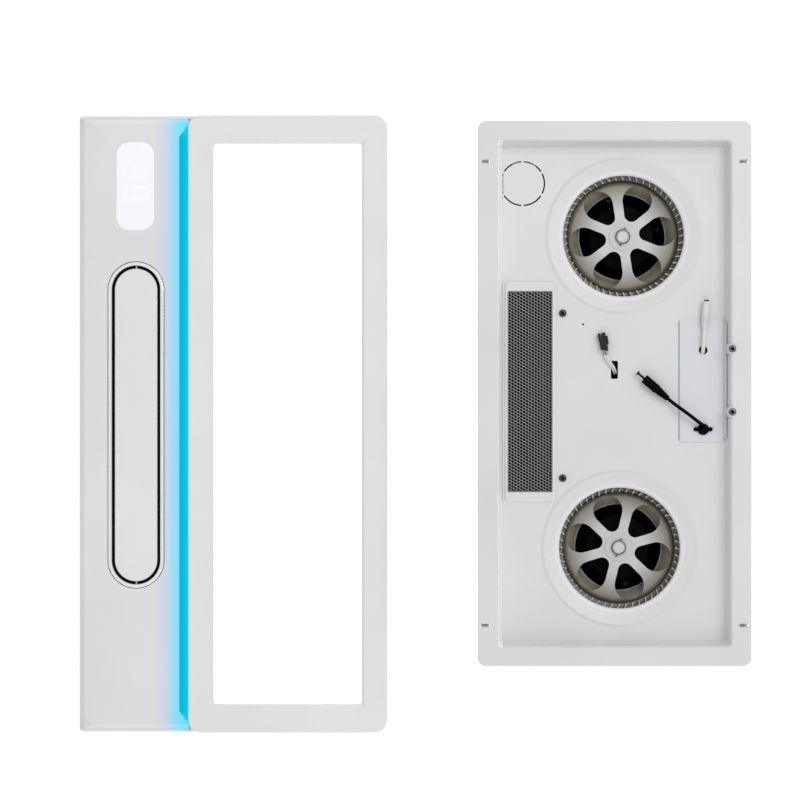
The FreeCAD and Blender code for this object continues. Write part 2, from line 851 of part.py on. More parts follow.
def motor(fan):
    """Round can with a bearing boss and a blind bore for the shaft."""
    low = scroll_floor + motor_plate_thickness
    high = hub_plate_top - hub_plate_thickness - motor_gap - motor_boss_height
    bore_r = shaft_r + running_clearance
    bore_low = low + motor_edge_r
    top = high + motor_boss_height
    edges = [
        rz_line(0, low, motor_r, low),
        rz_line(motor_r, low, motor_r, high - motor_edge_r),
        rz_arc(motor_r - motor_edge_r, high - motor_edge_r, motor_edge_r, 0, 90),
        rz_line(motor_r - motor_edge_r, high, motor_boss_r, high),
        rz_line(motor_boss_r, high, motor_boss_r, top),
        rz_line(motor_boss_r, top, bore_r, top),
        rz_line(bore_r, top, bore_r, bore_low),
        rz_line(bore_r, bore_low, 0, bore_low),
        rz_line(0, bore_low, 0, low),
    ]
    return spun(edges, fan[0], fan[1])


def shaft(fan):
    low = scroll_floor + motor_plate_thickness + motor_edge_r + seat_clearance
    return post(shaft_r, low, hub_plate_top + hub_rise, fan[0], fan[1])


def hub_cap(fan):
    """Domed cap nut over the shaft's end."""
    low = hub_plate_top + hub_rise
    shoulder = low + hub_cap_height * 0.6
    edges = [
        rz_line(0, low, hub_cap_r, low),
        rz_line(hub_cap_r, low, hub_cap_r, shoulder),
        rz_line(hub_cap_r, shoulder, hub_cap_r * 0.75, low + hub_cap_height),
        rz_line(hub_cap_r * 0.75, low + hub_cap_height, 0, low + hub_cap_height),
        rz_line(0, low + hub_cap_height, 0, low),
    ]
    return spun(edges, fan[0], fan[1])


def blade(side):
    """One forward-curved blade with its share of the front band, bent the way the wheel turns."""
    inner_r = cup_r + blade_gap
    outer_r = impeller_r
    middle_r = (inner_r + outer_r) / 2
    half_inner = math.degrees(blade_thickness / 2 / inner_r)
    half_outer = math.degrees(blade_thickness / 2 / outer_r)
    sweep = side * blade_sweep_deg
    lean = side * (blade_sweep_deg / 2 - blade_bulge_deg)
    back = [polar(inner_r, -half_inner), polar(middle_r, lean - half_inner), polar(outer_r,
                                                                                   sweep - half_outer)]
    front = [polar(inner_r, half_inner), polar(middle_r, lean + half_inner), polar(outer_r,
                                                                                   sweep + half_outer)]
    edges = [
        Part.Arc(*back).toShape(),
        line(back[2], front[2]),
        Part.Arc(*reversed(front)).toShape(),
        line(front[0], back[0]),
    ]
    leaf = prism(Part.Wire(edges), impeller_bottom + impeller_band, impeller_top)
    half_step = 180 / blade_count
    band_r = impeller_r - impeller_band
    share = [
        polar(impeller_r, sweep - half_step),
        polar(impeller_r, sweep + half_step),
        polar(band_r, sweep + half_step),
        polar(band_r, sweep - half_step),
    ]
    return leaf.fuse(prism(polygon(share), impeller_top - 2 * impeller_band, impeller_top))


def spoke_hole():
    """Rounded wedge: a small and a large circle joined by their common tangents."""
    gap = spoke_hole_centre - spoke_hole_inner_centre
    tilt = 90 - math.degrees(math.asin((spoke_hole_r - spoke_hole_inner_r) / gap))
    tilt = 180 - tilt
    small = spoke_hole_inner_centre
    large = spoke_hole_centre
    edges = [
        arc(large, 0, spoke_hole_r, -tilt, tilt),
        line(polar(spoke_hole_r, tilt, large), polar(spoke_hole_inner_r, tilt, small)),
        arc(small, 0, spoke_hole_inner_r, tilt, 360 - tilt),
        line(polar(spoke_hole_inner_r, -tilt, small), polar(spoke_hole_r, -tilt, large)),
    ]
    return prism(Part.Wire(edges), hub_plate_top - 2 * hub_plate_edge_r, hub_plate_top + 1)


def wheel(fan, spoke_deg):
    """Blower wheel's core: hub plate with spoke holes, rounded cup and back ring."""
    skin = hub_plate_thickness
    bend_r = cup_r - hub_plate_edge_r
    bend_z = hub_plate_top - hub_plate_edge_r
    ring_top = impeller_bottom + impeller_band
    bore_r = shaft_r + running_clearance / 2
    hub_low = hub_plate_top - hub_length + skin
    edges = [
        rz_line(bore_r, hub_plate_top + hub_rise, hub_r, hub_plate_top + hub_rise),
        rz_line(hub_r, hub_plate_top + hub_rise, hub_r, hub_plate_top),
        rz_line(hub_r, hub_plate_top, bend_r, hub_plate_top),
        rz_arc(bend_r, bend_z, hub_plate_edge_r, 90, 0),
        rz_line(cup_r, bend_z, cup_r, ring_top),
        rz_line(cup_r, ring_top, impeller_r, ring_top),
        rz_line(impeller_r, ring_top, impeller_r, impeller_bottom),
        rz_line(impeller_r, impeller_bottom, cup_r - skin, impeller_bottom),
        rz_line(cup_r - skin, impeller_bottom, cup_r - skin, bend_z),
        rz_arc(bend_r, bend_z, hub_plate_edge_r - skin, 0, 90),
        rz_line(bend_r, hub_plate_top - skin, hub_r, hub_plate_top - skin),
        rz_line(hub_r, hub_plate_top - skin, hub_r, hub_low),
        rz_line(hub_r, hub_low, bore_r, hub_low),
        rz_line(bore_r, hub_low, bore_r, hub_plate_top + hub_rise),
    ]
    core = spun(edges)
    for spoke in range(spoke_count):
        hole = spoke_hole()
        hole.rotate(Vector(0, 0, 0), Vector(0, 0, 1), spoke_deg + 360 / spoke_count * spoke)
        core = core.cut(hole)
    core.translate(Vector(fan[0], fan[1], 0))
    return core


def blade_ring(fan, side):
    """Ring of blades that stands on the wheel's back ring."""
    first = blade(side)
    leaves = []
    for turn in range(blade_count):
        leaf = first.copy()
        leaf.rotate(Vector(0, 0, 0), Vector(0, 0, 1), 360 / blade_count * turn)
        leaf.translate(Vector(fan[0], fan[1], 0))
        leaves.append(leaf)
    return Part.makeCompound(leaves)


def duct_outline(grow, mouth):
    """Warm-air duct in plan: wide at the scroll, then as wide as the grille."""
    neck_y = duct_low_y + (duct_high_y - duct_low_y) * 0.25
    mouth_x = lower_fan_x - tongue_x
    low_y = duct_low_y - mouth
    return polygon([
        Vector(duct_low_x - grow, low_y, 0),
        Vector(mouth_x + grow, low_y, 0),
        Vector(duct_high_x + grow, neck_y, 0),
        Vector(duct_high_x + grow, duct_high_y + grow, 0),
        Vector(duct_low_x - grow, duct_high_y + grow, 0),
    ])


def heater_duct():
    """Open-topped duct that turns the heater blower's air up through the grille."""
    outer = prism(duct_outline(duct_wall, 0), scroll_back, floor_under)
    inner = prism(duct_outline(0, 0), scroll_floor, floor_under + 1)
    mouth_low_x = lower_fan_x - scroll_growth / 2 - scroll_r[3]
    inner.translate(Vector(0, duct_wall, 0))
    mouth = box(mouth_low_x, duct_low_y - 1, scroll_floor, lower_fan_x - tongue_x,
                duct_low_y + duct_wall + 1,
                floor_under + 1)
    cuts = [inner.common(box(duct_low_x, duct_low_y, 0, 0, duct_high_y, floor_top)), mouth]
    cuts += dish_room(lower_fan)
    for x, y in ear_places():
        cuts.append(box(grille_high_x, y - boss_size / 2 - seat_clearance,
                        floor_under - ear_thickness - seat_clearance, x + boss_size,
                        y + boss_size / 2 + seat_clearance, floor_under + 1))
    feet = [post(scroll_foot_r, casing_wall, scroll_floor, grille_x, y)
            for y in (duct_low_y + 2 * scroll_foot_r, duct_high_y - 2 * scroll_foot_r)]
    return fused([outer.cut(Part.makeCompound(cuts))] + feet)


def heater_box(inset, low, high):
    gap = seat_clearance + inset
    return box(duct_low_x + gap, duct_low_y + duct_wall + gap, low, duct_high_x - gap, duct_high_y - gap,
               high)


def heater_frame():
    """Heat-proof frame that hangs under the tray by two screwed ears and carries the grille."""
    low = floor_under - heater_frame_height
    solid = heater_box(0, low, floor_under)
    ears = []
    cuts = [heater_box(heater_frame_wall, low - 1, floor_under + 1)]
    for x, y in ear_places():
        ears.append(box(grille_high_x, y - boss_size / 2, floor_under - ear_thickness,
                        x + boss_size / 2, y + boss_size / 2, floor_under))
        cuts.append(post(screw_shank_r + thread_clearance, floor_under - screw_length, floor_under + 1,
                         x, y))
    return fused([solid] + ears).cut(Part.makeCompound(cuts))


def heater_bar_places():
    room = duct_high_x - duct_low_x - 2 * (seat_clearance + heater_frame_wall)
    step = room / heater_bar_count
    first = duct_low_x + seat_clearance + heater_frame_wall + step / 2
    return [first + step * number for number in range(heater_bar_count)], step


def heater_bars():
    """Heating bars that span the frame from end to end."""
    low = floor_under - heater_frame_height + heater_frame_wall
    high = floor_under - heater_frame_wall
    inner = heater_box(heater_frame_wall, low, high).BoundBox
    places, step = heater_bar_places()
    half = heater_bar_width / 2
    return [box(x - half, inner.YMin, low, x + half, inner.YMax, high) for x in places]


def heater_fins():
    """Folded aluminium strips beside the heating bars."""
    low = floor_under - heater_frame_height + heater_frame_wall
    high = floor_under - heater_frame_wall
    inner = heater_box(heater_frame_wall, low, high).BoundBox
    places, step = heater_bar_places()
    folds = int((inner.YMax - inner.YMin) / heater_fin_pitch)
    pitch = (inner.YMax - inner.YMin) / folds
    strips = []
    for x in places[:-1]:
        near = x + heater_bar_width / 2 + running_clearance
        far = x + step - heater_bar_width / 2 - running_clearance
        edge = []
        for fold in range(folds + 1):
            edge.append(Vector(near if fold % 2 else far - heater_fin_thickness,
                               inner.YMin + pitch * fold, 0))
        back = [point + Vector(heater_fin_thickness, 0, 0) for point in reversed(edge)]
        strips.append(prism(polygon(edge + back), low, high))
    return strips


def outlet_grille():
    """Expanded-metal plate: rows of staggered diamonds inside a plain border."""
    low_x = grille_low_x + grille_border
    low_y = grille_low_y + grille_border
    pitch_x = (grille_width - 2 * grille_border) / (grille_columns + 0.5)
    pitch_y = (grille_length - 2 * grille_border) / grille_rows
    outline = centred_rect(grille_width, grille_length, cut_corner_r, x=grille_x, y=grille_y)
    holes = []
    half_x = (pitch_x - grille_strand) / 2
    half_y = pitch_y - grille_strand
    for row in range(grille_rows - 1):
        shift = 0.5 + 0.5 * (row % 2)
        for column in range(grille_columns):
            x = low_x + pitch_x * (column + shift)
            y = low_y + pitch_y * (row + 1)
            holes.append(polygon([Vector(x - half_x, y, 0), Vector(x, y - half_y, 0),
                                  Vector(x + half_x, y, 0), Vector(x, y + half_y, 0)]))
    plate = Part.Face([outline] + holes).extrude(Vector(0, 0, grille_thickness))
    plate.translate(Vector(0, 0, floor_under))
    return plate


def collar_screw_places():
    reach = collar_r - screw_head_r
    return [(Vector(collar_x + side * reach, deep_out_y + collar_plate_thickness,
                    collar_height + end * reach),
             Vector(0, 1, 0)) for side in (-1, 1) for end in (-1, 1)]


def duct_collar():
    """Round spigot on a square plate, with holes for the flap pin."""
    reach = collar_r + collar_plate_margin
    plate_high_y = deep_out_y + collar_plate_thickness
    plate = box(collar_x - reach, deep_out_y, collar_height - reach, collar_x + reach, plate_high_y,
                collar_height + reach)
    start = Vector(collar_x, deep_out_y, collar_height)
    end = Vector(collar_x, collar_end_y, collar_height)
    along = Vector(0, 1, 0)
    cuts = [rod(collar_in_r, start - along, end + along)]
    pin_reach = Vector(0, 0, collar_r + 1)
    pin_centre = Vector(collar_x, damper_y, collar_height)
    cuts.append(rod(damper_pin_r + running_clearance / 2, pin_centre - pin_reach, pin_centre + pin_reach))
    for place, direction in collar_screw_places():
        cuts.append(screw_hole(place + direction, direction, screw_shank_r + thread_clearance))
    return fused([plate, rod(collar_r, start, end)]).cut(Part.makeCompound(cuts))


def damper_pin():
    reach = Vector(0, 0, collar_in_r + collar_wall / 2)
    centre = Vector(collar_x, damper_y, collar_height)
    return rod(damper_pin_r, centre - reach, centre + reach)


def damper_flap(side):
    """Half-round backdraft flap just upstream of the upright pin that its sleeves turn on."""
    r = collar_in_r - damper_gap
    low_y = damper_y - damper_offset - damper_thickness / 2
    centre = Vector(collar_x, low_y, collar_height)
    disc = Part.makeCylinder(r, damper_thickness, centre, Vector(0, 1, 0))
    edge = damper_gap / 2
    keep = box(collar_x + edge, low_y - 1, 0, collar_x + 2 * collar_r, low_y + 2 * damper_thickness,
               2 * collar_height)
    if side < 0:
        keep = box(collar_x - 2 * collar_r, low_y - 1, 0, collar_x - edge, low_y + 2 * damper_thickness,
                   2 * collar_height)
    flap = disc.common(keep)
    slots = 2 * damper_sleeve_count
    span = 2 * (collar_in_r - damper_sleeve_r - damper_gap) * 0.9
    step = span / slots
    pin_x = Vector(collar_x, damper_y, 0)
    sleeves = []
    for number in range(slots):
        if (number % 2 == 0) != (side > 0):
            continue
        low = collar_height - span / 2 + step * number + damper_gap / 2
        high = low + step - damper_gap
        sleeve = post(damper_sleeve_r, low, high, pin_x.x, pin_x.y)
        near = pin_x.x + side * edge
        far = pin_x.x + side * damper_sleeve_r
        web = box(min(near, far), low_y, low, max(near, far), pin_x.y, high)
        sleeves.append(sleeve.fuse(web))
    solid = fused([flap] + sleeves)
    bore = post(damper_pin_r + running_clearance, 0, 2 * collar_height, pin_x.x, pin_x.y)
    return solid.cut(bore)


def control_box():
    """Open box that hangs under the tray behind the cover, with a rim against the floor."""
    low = floor_under - control_box_depth
    outer = rounded_rect(cover_low_x, cover_low_y, cover_high_x, cover_high_y, cover_corner_r)
    margin = control_box_margin
    inner = rounded_rect(cover_low_x + margin, cover_low_y + margin, cover_high_x - margin,
                         cover_high_y - margin,
                         cover_corner_r)
    wall = control_box_wall
    shell = rounded_rect(cover_low_x + margin - wall, cover_low_y + margin - wall,
                         cover_high_x - margin + wall,
                         cover_high_y - margin + wall, cover_corner_r)
    rim = prism(outer, floor_under - wall, floor_under)
    solid = fused([rim, prism(shell, low, floor_under)]).cut(prism(inner, low + wall, floor_under + 1))
    posts = [post(screw_shank_r * 1.5, low + wall, low + wall + board_standoff, x, y)
             for x, y in board_post_places()]
    return fused([solid] + posts)


def board_edges():
    gap = control_box_margin + board_margin
    return cover_low_x + gap, cover_low_y + gap, cover_high_x - gap, cover_high_y - gap


def board_post_places():
    low_x, low_y, high_x, high_y = board_edges()
    return [(x, y) for x in (low_x + board_margin, high_x - board_margin)
            for y in (low_y + board_margin, high_y - board_margin)]


def board_top():
    return floor_under - control_box_depth + control_box_wall + board_standoff + board_thickness


def control_board():
    low_x, low_y, high_x, high_y = board_edges()
    return box(low_x, low_y, board_top() - board_thickness, high_x, high_y, board_top())


def relays():
    """Row of relays along the board's left edge."""
    low_x, low_y, high_x, high_y = board_edges()
    step = (high_y - low_y) / relay_count
    return [box(low_x, low_y + step * number, board_top(), low_x + relay_width,
                low_y + step * number + relay_length, board_top() + relay_height)
            for number in range(relay_count)]


def run_capacitor():
    """Motor capacitor lying on the board beyond the terminal strip."""
    low_x, low_y, high_x, high_y = board_edges()
    low_y += terminal_pitch * terminal_ways + seat_clearance
    start = Vector(high_x - capacitor_r, low_y, board_top() + capacitor_r)
    return rod(capacitor_r, start, start + Vector(0, capacitor_length, 0))


def lead_socket():
    """Socket on the board that the white lead rises from."""
    start = white_lead_route[0]
    half = lead_socket_size / 2
    return box(start.x - half, start.y - half, board_top(), start.x + half, start.y + half, start.z)


def terminal_block():
    """Mains terminal strip with one stepped cell for each wire."""
    low_x, low_y, high_x, high_y = board_edges()
    x = high_x - terminal_width
    cells = []
    for way in range(terminal_ways):
        y = low_y + terminal_pitch * way
        cells.append(box(x, y, board_top(), high_x, y + terminal_pitch, board_top() + terminal_height * 0.6))
        cells.append(box(x, y + 1, board_top(), x + terminal_width / 2, y + terminal_pitch - 1,
                         board_top() + terminal_height))
    return fused(cells)


def control_cover():
    """Cover plate with a leg up the tray wall and two screw ears on the flange."""
    slope = (opening_width - floor_width) / 2 / tray_depth
    edge_x = cover_high_x - cover_leg_gap
    plate = prism(rounded_rect(cover_low_x, cover_low_y, edge_x, cover_high_y, cover_corner_r),
                  floor_top, floor_top + cover_thickness)

    def leg(low_y, high_y, rise):
        run = slope * rise
        wall = [Vector(edge_x, low_y, floor_top), Vector(edge_x + run, low_y, floor_top + rise),
                Vector(edge_x + run - cover_thickness, low_y, floor_top + rise),
                Vector(edge_x - cover_thickness, low_y, floor_top)]
        return Part.Face(polygon(wall)).extrude(Vector(0, high_y - low_y, 0))

    pieces = [plate, leg(cover_low_y + cover_corner_r, cover_high_y - cover_corner_r, cover_leg_height)]
    ear_half = screw_head_r + cover_thickness
    cuts = [post(white_hole_r, floor_top - 1, floor_top + 5, white_hole_x, white_hole_y),
            post(dc_grommet_r - 1, floor_top - 1, floor_top + 5, dc_grommet_x, dc_grommet_y)]
    for x, y in cover_screw_places():
        pieces.append(leg(y - ear_half, y + ear_half, tray_depth + cover_thickness))
        pieces.append(post(ear_half, flange_top, flange_top + cover_thickness, x, y))
        pieces.append(box(opening_width / 2 - cover_leg_gap - cover_thickness, y - ear_half, flange_top, x,
                          y + ear_half, flange_top + cover_thickness))
        cuts.append(post(screw_shank_r + thread_clearance, floor_top, flange_top + 5, x, y))
    return fused(pieces).cut(Part.makeCompound(cuts))


def dc_grommet():
    """Rubber bush in the cover with two finger ears and a domed top."""
    low = floor_top + cover_thickness
    high = low + dc_grommet_rise
    edges = [
        rz_line(0, low, dc_grommet_r, low),
        rz_line(dc_grommet_r, low, dc_grommet_r, low + dc_grommet_rise * 0.4),
        rz_line(dc_grommet_r, low + dc_grommet_rise * 0.4, dc_grommet_r * 0.6, high),
        rz_line(dc_grommet_r * 0.6, high, 0, high),
        rz_line(0, high, 0, low),
    ]
    body = spun(edges, dc_grommet_x, dc_grommet_y)
    ears = prism(centred_rect(dc_ear_length, dc_ear_width, dc_ear_width / 2, x=dc_grommet_x,
                              y=dc_grommet_y), low, low + dc_grommet_rise * 0.4)
    stem = post(dc_grommet_r - 1 - seat_clearance, floor_under, low, dc_grommet_x, dc_grommet_y)
    start, second = dc_lead_route[0], dc_lead_route[1]
    run = second - start
    run.normalize()
    seat = rod(dc_lead_r * 1.6, start, start + run * dc_grommet_r * 3)
    return fused([body, ears, stem]).cut(seat)


def dc_plug():
    """Moulded plug: straight body, taper and ribbed strain relief, along the lead's last run."""
    start = dc_lead_route[-1]
    run = start - dc_lead_route[-2]
    level = Vector(run.x, run.y, 0)
    level.normalize()
    relief = dc_plug_length - dc_plug_body_length
    edges = [
        rz_line(0, 0, dc_relief_r, 0),
        rz_line(dc_relief_r, 0, dc_relief_r, relief * 0.5),
        rz_line(dc_relief_r, relief * 0.5, dc_plug_r, relief),
        rz_line(dc_plug_r, relief, dc_plug_r, dc_plug_length),
        rz_line(dc_plug_r, dc_plug_length, 0, dc_plug_length),
        rz_line(0, dc_plug_length, 0, 0),
    ]
    return aimed(spun(edges), start, level)


def dc_barrel():
    """Hollow metal pin of the plug with a collar at its tip."""
    start = dc_lead_route[-1]
    run = start - dc_lead_route[-2]
    level = Vector(run.x, run.y, 0)
    level.normalize()
    stem = Part.makeCylinder(dc_barrel_r, dc_barrel_length)
    tip = Part.makeCylinder(dc_tip_r, dc_tip_length, Vector(0, 0, dc_barrel_length - dc_tip_length))
    bore = Part.makeCylinder(dc_barrel_bore_r, dc_barrel_length, Vector(0, 0, dc_tip_length))
    return aimed(fused([stem, tip]).cut(bore), start + level * dc_plug_length, level)


def white_connector():
    """Round in-line connector with three grip ribs and an open end."""
    start = white_lead_route[-1]
    level = start - white_lead_route[-2]
    r = white_connector_r
    tail = white_connector_length * 0.2
    tail_cone = Part.makeCone(white_lead_r + 0.6, r, tail)
    body = Part.makeCylinder(r, white_connector_length - tail, Vector(0, 0, tail))
    ribs = [Part.makeCylinder(r + connector_rib_rise, connector_rib_length,
                              Vector(0, 0, tail + connector_rib_pitch * number))
            for number in range(connector_rib_count)]
    bore_low = white_connector_length - white_connector_bore_depth
    bore = Part.makeCylinder(r - white_connector_wall, white_connector_length, Vector(0, 0, bore_low))
    return aimed(fused([tail_cone, body] + ribs).cut(bore), start, level)


def signal_wire(side):
    """One of the two thin wires, set beside the other along the same route."""
    run = signal_lead_route[-1] - signal_lead_route[-2]
    across = Vector(run.y, -run.x, 0)
    across.normalize()
    route = [point + across * (side * signal_wire_spread) for point in signal_lead_route]
    return tube(route, signal_wire_r, "signal wire")


def wire_holder():
    """Black pocket under the tray that the two signal wires come out of."""
    half_x = holder_width / 2
    half_y = holder_length / 2
    x = signal_slot_x
    y = signal_slot_y
    low = floor_under - holder_height
    block = box(x - half_x, y - half_y, low, x + half_x, y + half_y, floor_under)
    wall = holder_wall
    pocket = box(x - half_x + wall, y - half_y + wall, low + wall, x + half_x - wall, y + half_y - wall,
                 floor_under + 1)
    return block.cut(pocket)


def signal_plug():
    """Flat two-way latch connector with two prongs at the front."""
    start = signal_lead_route[-1]
    run = start - signal_lead_route[-2]
    half = signal_plug_width / 2
    low = -signal_plug_height / 2
    high = signal_plug_height / 2
    prong = signal_plug_length * 0.3
    body = box(-half * 0.8, 0, low, half * 0.8, signal_plug_length - prong, high)
    left = box(-half, signal_plug_length * 0.45, low, -half * 0.35, signal_plug_length * 0.9, high * 0.6)
    right = box(half * 0.3, signal_plug_length * 0.5, low, half * 0.8, signal_plug_length, high * 0.6)
    latch = box(-half * 0.3, signal_plug_length * 0.25, high, half * 0.3, signal_plug_length * 0.8,
                high + signal_latch_height)
    solid = fused([body, left, right, latch])
    solid.rotate(Vector(0, 0, 0), Vector(0, 0, 1), math.degrees(math.atan2(run.y, run.x)) - 90)
    solid.translate(start)
    return solid


def spring_clip(x, y):
    """Bent strip under a hook slot: two leaves that join in a round bottom."""
    half = hook_slot_width / 2
    pinch = half * 0.6
    top = flange_under
    bottom = top - clip_depth
    wing = half + clip_wing
    t = clip_thickness

    def half_edges(side):
        return [
            line(Vector(0, side * pinch, bottom), Vector(0, side * half, top - t)),
            line(Vector(0, side * half, top - t), Vector(0, side * wing, top - t)),
            line(Vector(0, side * wing, top - t), Vector(0, side * wing, top)),
            line(Vector(0, side * wing, top), Vector(0, side * (half - t), top)),
            line(Vector(0, side * (half - t), top), Vector(0, side * (pinch - t), bottom)),
        ]

    outer = Part.Arc(Vector(0, -pinch, bottom), Vector(0, 0, bottom - pinch), Vector(0, pinch,
                                                                                     bottom)).toShape()
    inner_r = pinch - t
    inner = Part.Arc(Vector(0, -inner_r, bottom), Vector(0, 0, bottom - inner_r), Vector(0, inner_r, bottom))
    edges = half_edges(-1) + half_edges(1) + [outer, inner.toShape()]
    wire = Part.Wire(Part.__sortEdges__(edges))
    solid = Part.Face(wire).extrude(Vector(clip_width, 0, 0))
    solid.translate(Vector(x - clip_width / 2, y, 0))
    return solid


def bracket_screw_places():
    height = flange_under - bracket_drop - bracket_height * 0.6
    return [(Vector(side * (casing_out_x + bracket_thickness), end * bracket_y + offset, height),
             Vector(side, 0, 0))
            for side in (-1, 1) for end in (-1, 1) for offset in (-bracket_width / 4, bracket_width / 4)]


def mounting_bracket(side, end):
    """Steel angle on the casing wall with a slot for a hanger bolt."""
    high = flange_under - bracket_drop
    y = end * bracket_y
    wall = side * casing_out_x
    skin = wall + side * bracket_thickness
    tip = wall + side * bracket_reach
    upright = box(min(wall, skin), y - bracket_width / 2, high - bracket_height, max(wall, skin),
                  y + bracket_width / 2, high)
    shelf = box(min(wall, tip), y - bracket_width / 2, high - bracket_thickness, max(wall, tip),
                y + bracket_width / 2, high)
    slot_x = wall + side * (bracket_reach + bracket_thickness) / 2
    slot = prism(centred_rect(bracket_slot_length, 2 * bracket_slot_r, bracket_slot_r, x=slot_x, y=y),
                 high - 5, high + 5)
    holes = [screw_hole(place + direction, direction, screw_shank_r + thread_clearance)
             for place, direction in bracket_screw_places()]
    return fused([upright, shelf]).cut(Part.makeCompound([slot] + holes))


# Face panel pieces

def base_hook_places():
    return [(side * hook_x, end * hook_y) for side in (-1, 1) for end in (-1, 1)]


def frame_screw_places():
    border = (frame_width - window_width) / 4
    xs = (frame_low_x + border, panel_width / 2 - border)
    ys = (-panel_length * 0.35, 0.0, panel_length * 0.35)
    return [(x, y) for x in xs for y in ys]


def panel_base():
    """Shallow back tray of the panel with a rim, an outlet opening and board posts."""
    half_x = panel_width / 2
    half_y = panel_length / 2
    outer = prism(rounded_rect(-half_x, -half_y, half_x, half_y, panel_corner_r, left_r=panel_square_r),
                  base_back, base_rim_top)
    half_x -= base_rim_wall
    half_y -= base_rim_wall
    hollow = prism(rounded_rect(-half_x, -half_y, half_x, half_y, panel_corner_r - base_rim_wall,
                                left_r=panel_square_r - base_rim_wall), base_floor, base_rim_top + 1)
    solid = outer.cut(hollow)
    posts = []
    for side in (-1, 1):
        for end in (-1, 1):
            posts.append(post(screw_head_r, base_back + base_thickness / 2, display_board_low(),
                              display_x + side * display_width * 0.3, display_y + end * display_length * 0.35))
    solid = fused([solid] + posts)
    cuts = [prism(stadium(throat_out_w + seat_clearance, throat_out_l + seat_clearance, x=outlet_x,
                          y=outlet_y),
                  base_back - 1, base_rim_top + 1)]
    for x, y in frame_screw_places():
        cuts.append(post(screw_shank_r + thread_clearance, base_back - 1, base_floor + 1, x, y))
    return solid.cut(Part.makeCompound(cuts))


def display_board_low():
    return plate_under - display_flange - display_module_height - board_thickness


def strip_plan(grow):
    """Plan of the light strip: slanted ends follow the side plate's corners."""
    low_x = strip_low_x - grow
    long_y = panel_length / 2 - strip_end_gap
    short_y = long_y - strip_slant
    return polygon([Vector(low_x, -short_y, 0), Vector(strip_high_x, -long_y - grow, 0),
                    Vector(strip_high_x, long_y + grow, 0), Vector(low_x, short_y, 0)])


def light_strip():
    """Translucent bar whose top slopes down from the side plate to the lamp frame."""
    solid = prism(strip_plan(0), base_rim_top, plate_top_z)
    high = plate_top_z + 1
    fall = [Vector(strip_low_x - 1, -panel_length, high), Vector(strip_low_x - 1, -panel_length,
                                                                 plate_top_z),
            Vector(strip_high_x + 1, -panel_length, plate_top_z - strip_drop),
            Vector(strip_high_x + 1, -panel_length, high)]
    return solid.cut(Part.Face(polygon(fall)).extrude(Vector(0, 2 * panel_length, 0)))


def side_plate():
    """Raised plate with sloped edges, open below, with the outlet and display openings."""
    low_x = -panel_width / 2
    low_y = -panel_length / 2 + plate_end_bevel / 2
    low = rounded_rect(low_x, low_y, strip_high_x, -low_y, panel_square_r / 2, base_rim_top, panel_square_r)
    high = rounded_rect(low_x + plate_bevel, low_y + plate_end_bevel, strip_high_x, -low_y - plate_end_bevel,
                        panel_square_r / 2, plate_top_z, plate_corner_r)
    wall = base_rim_wall + plate_bevel
    pocket = prism(rounded_rect(low_x + wall, low_y + wall, strip_low_x - base_rim_wall, -low_y - wall,
                                plate_corner_r), base_rim_top - 1, plate_under)
    cuts = [
        pocket,
        prism(strip_plan(seat_clearance), base_rim_top - 1, plate_top_z + 1),
        prism(stadium(throat_out_w + seat_clearance, throat_out_l + seat_clearance, x=outlet_x, y=outlet_y),
              plate_under - 1, plate_top_z + 1),
        prism(centred_rect(display_width + seat_clearance, display_length + seat_clearance, display_corner_r,
                           x=display_x, y=display_y), plate_under - 1, plate_top_z + 1),
    ]
    return loft(low, high).cut(Part.makeCompound(cuts))


def display_lens():
    """Clear window flush in the plate with a hidden edge flange."""
    window = prism(centred_rect(display_width, display_length, display_corner_r, x=display_x, y=display_y),
                   plate_top_z - plate_skin, plate_top_z - plate_skin + display_skin)
    grow = 2 * display_flange
    flange = prism(centred_rect(display_width + grow, display_length + grow,
                                display_corner_r + display_flange,
                                x=display_x, y=display_y), plate_under - display_flange, plate_under)
    return fused([window, flange])


def display_board():
    """Circuit board behind the window with its two-digit module."""
    low = display_board_low()
    board = box(display_x - display_width / 2, display_y - display_length / 2, low,
                display_x + display_width / 2,
                display_y + display_length / 2, low + board_thickness)
    module_high = plate_under - display_flange
    module = box(display_x - display_width * 0.35, display_y - display_length * 0.28, low + board_thickness,
                 display_x + display_width * 0.35, display_y + display_length * 0.28, module_high)
    return Part.makeCompound([board, module])


def strip_light_board():
    """Narrow board with light chips under the strip."""
    centre = (strip_low_x + strip_high_x) / 2
    half = strip_width / 2 - 1
    reach = panel_length / 2 - strip_end_gap - strip_slant - 1
    solids = [box(centre - half, -reach, base_floor, centre + half, reach, base_floor + board_thickness)]
    step = 2 * reach / light_chip_count
    for chip in range(light_chip_count):
        y = -reach + step * (chip + 0.5)
        solids.append(box(centre - light_chip / 2, y - light_chip / 2, base_floor + board_thickness,
                          centre + light_chip / 2, y + light_chip / 2, base_floor + board_thickness + 1))
    return Part.makeCompound(solids)


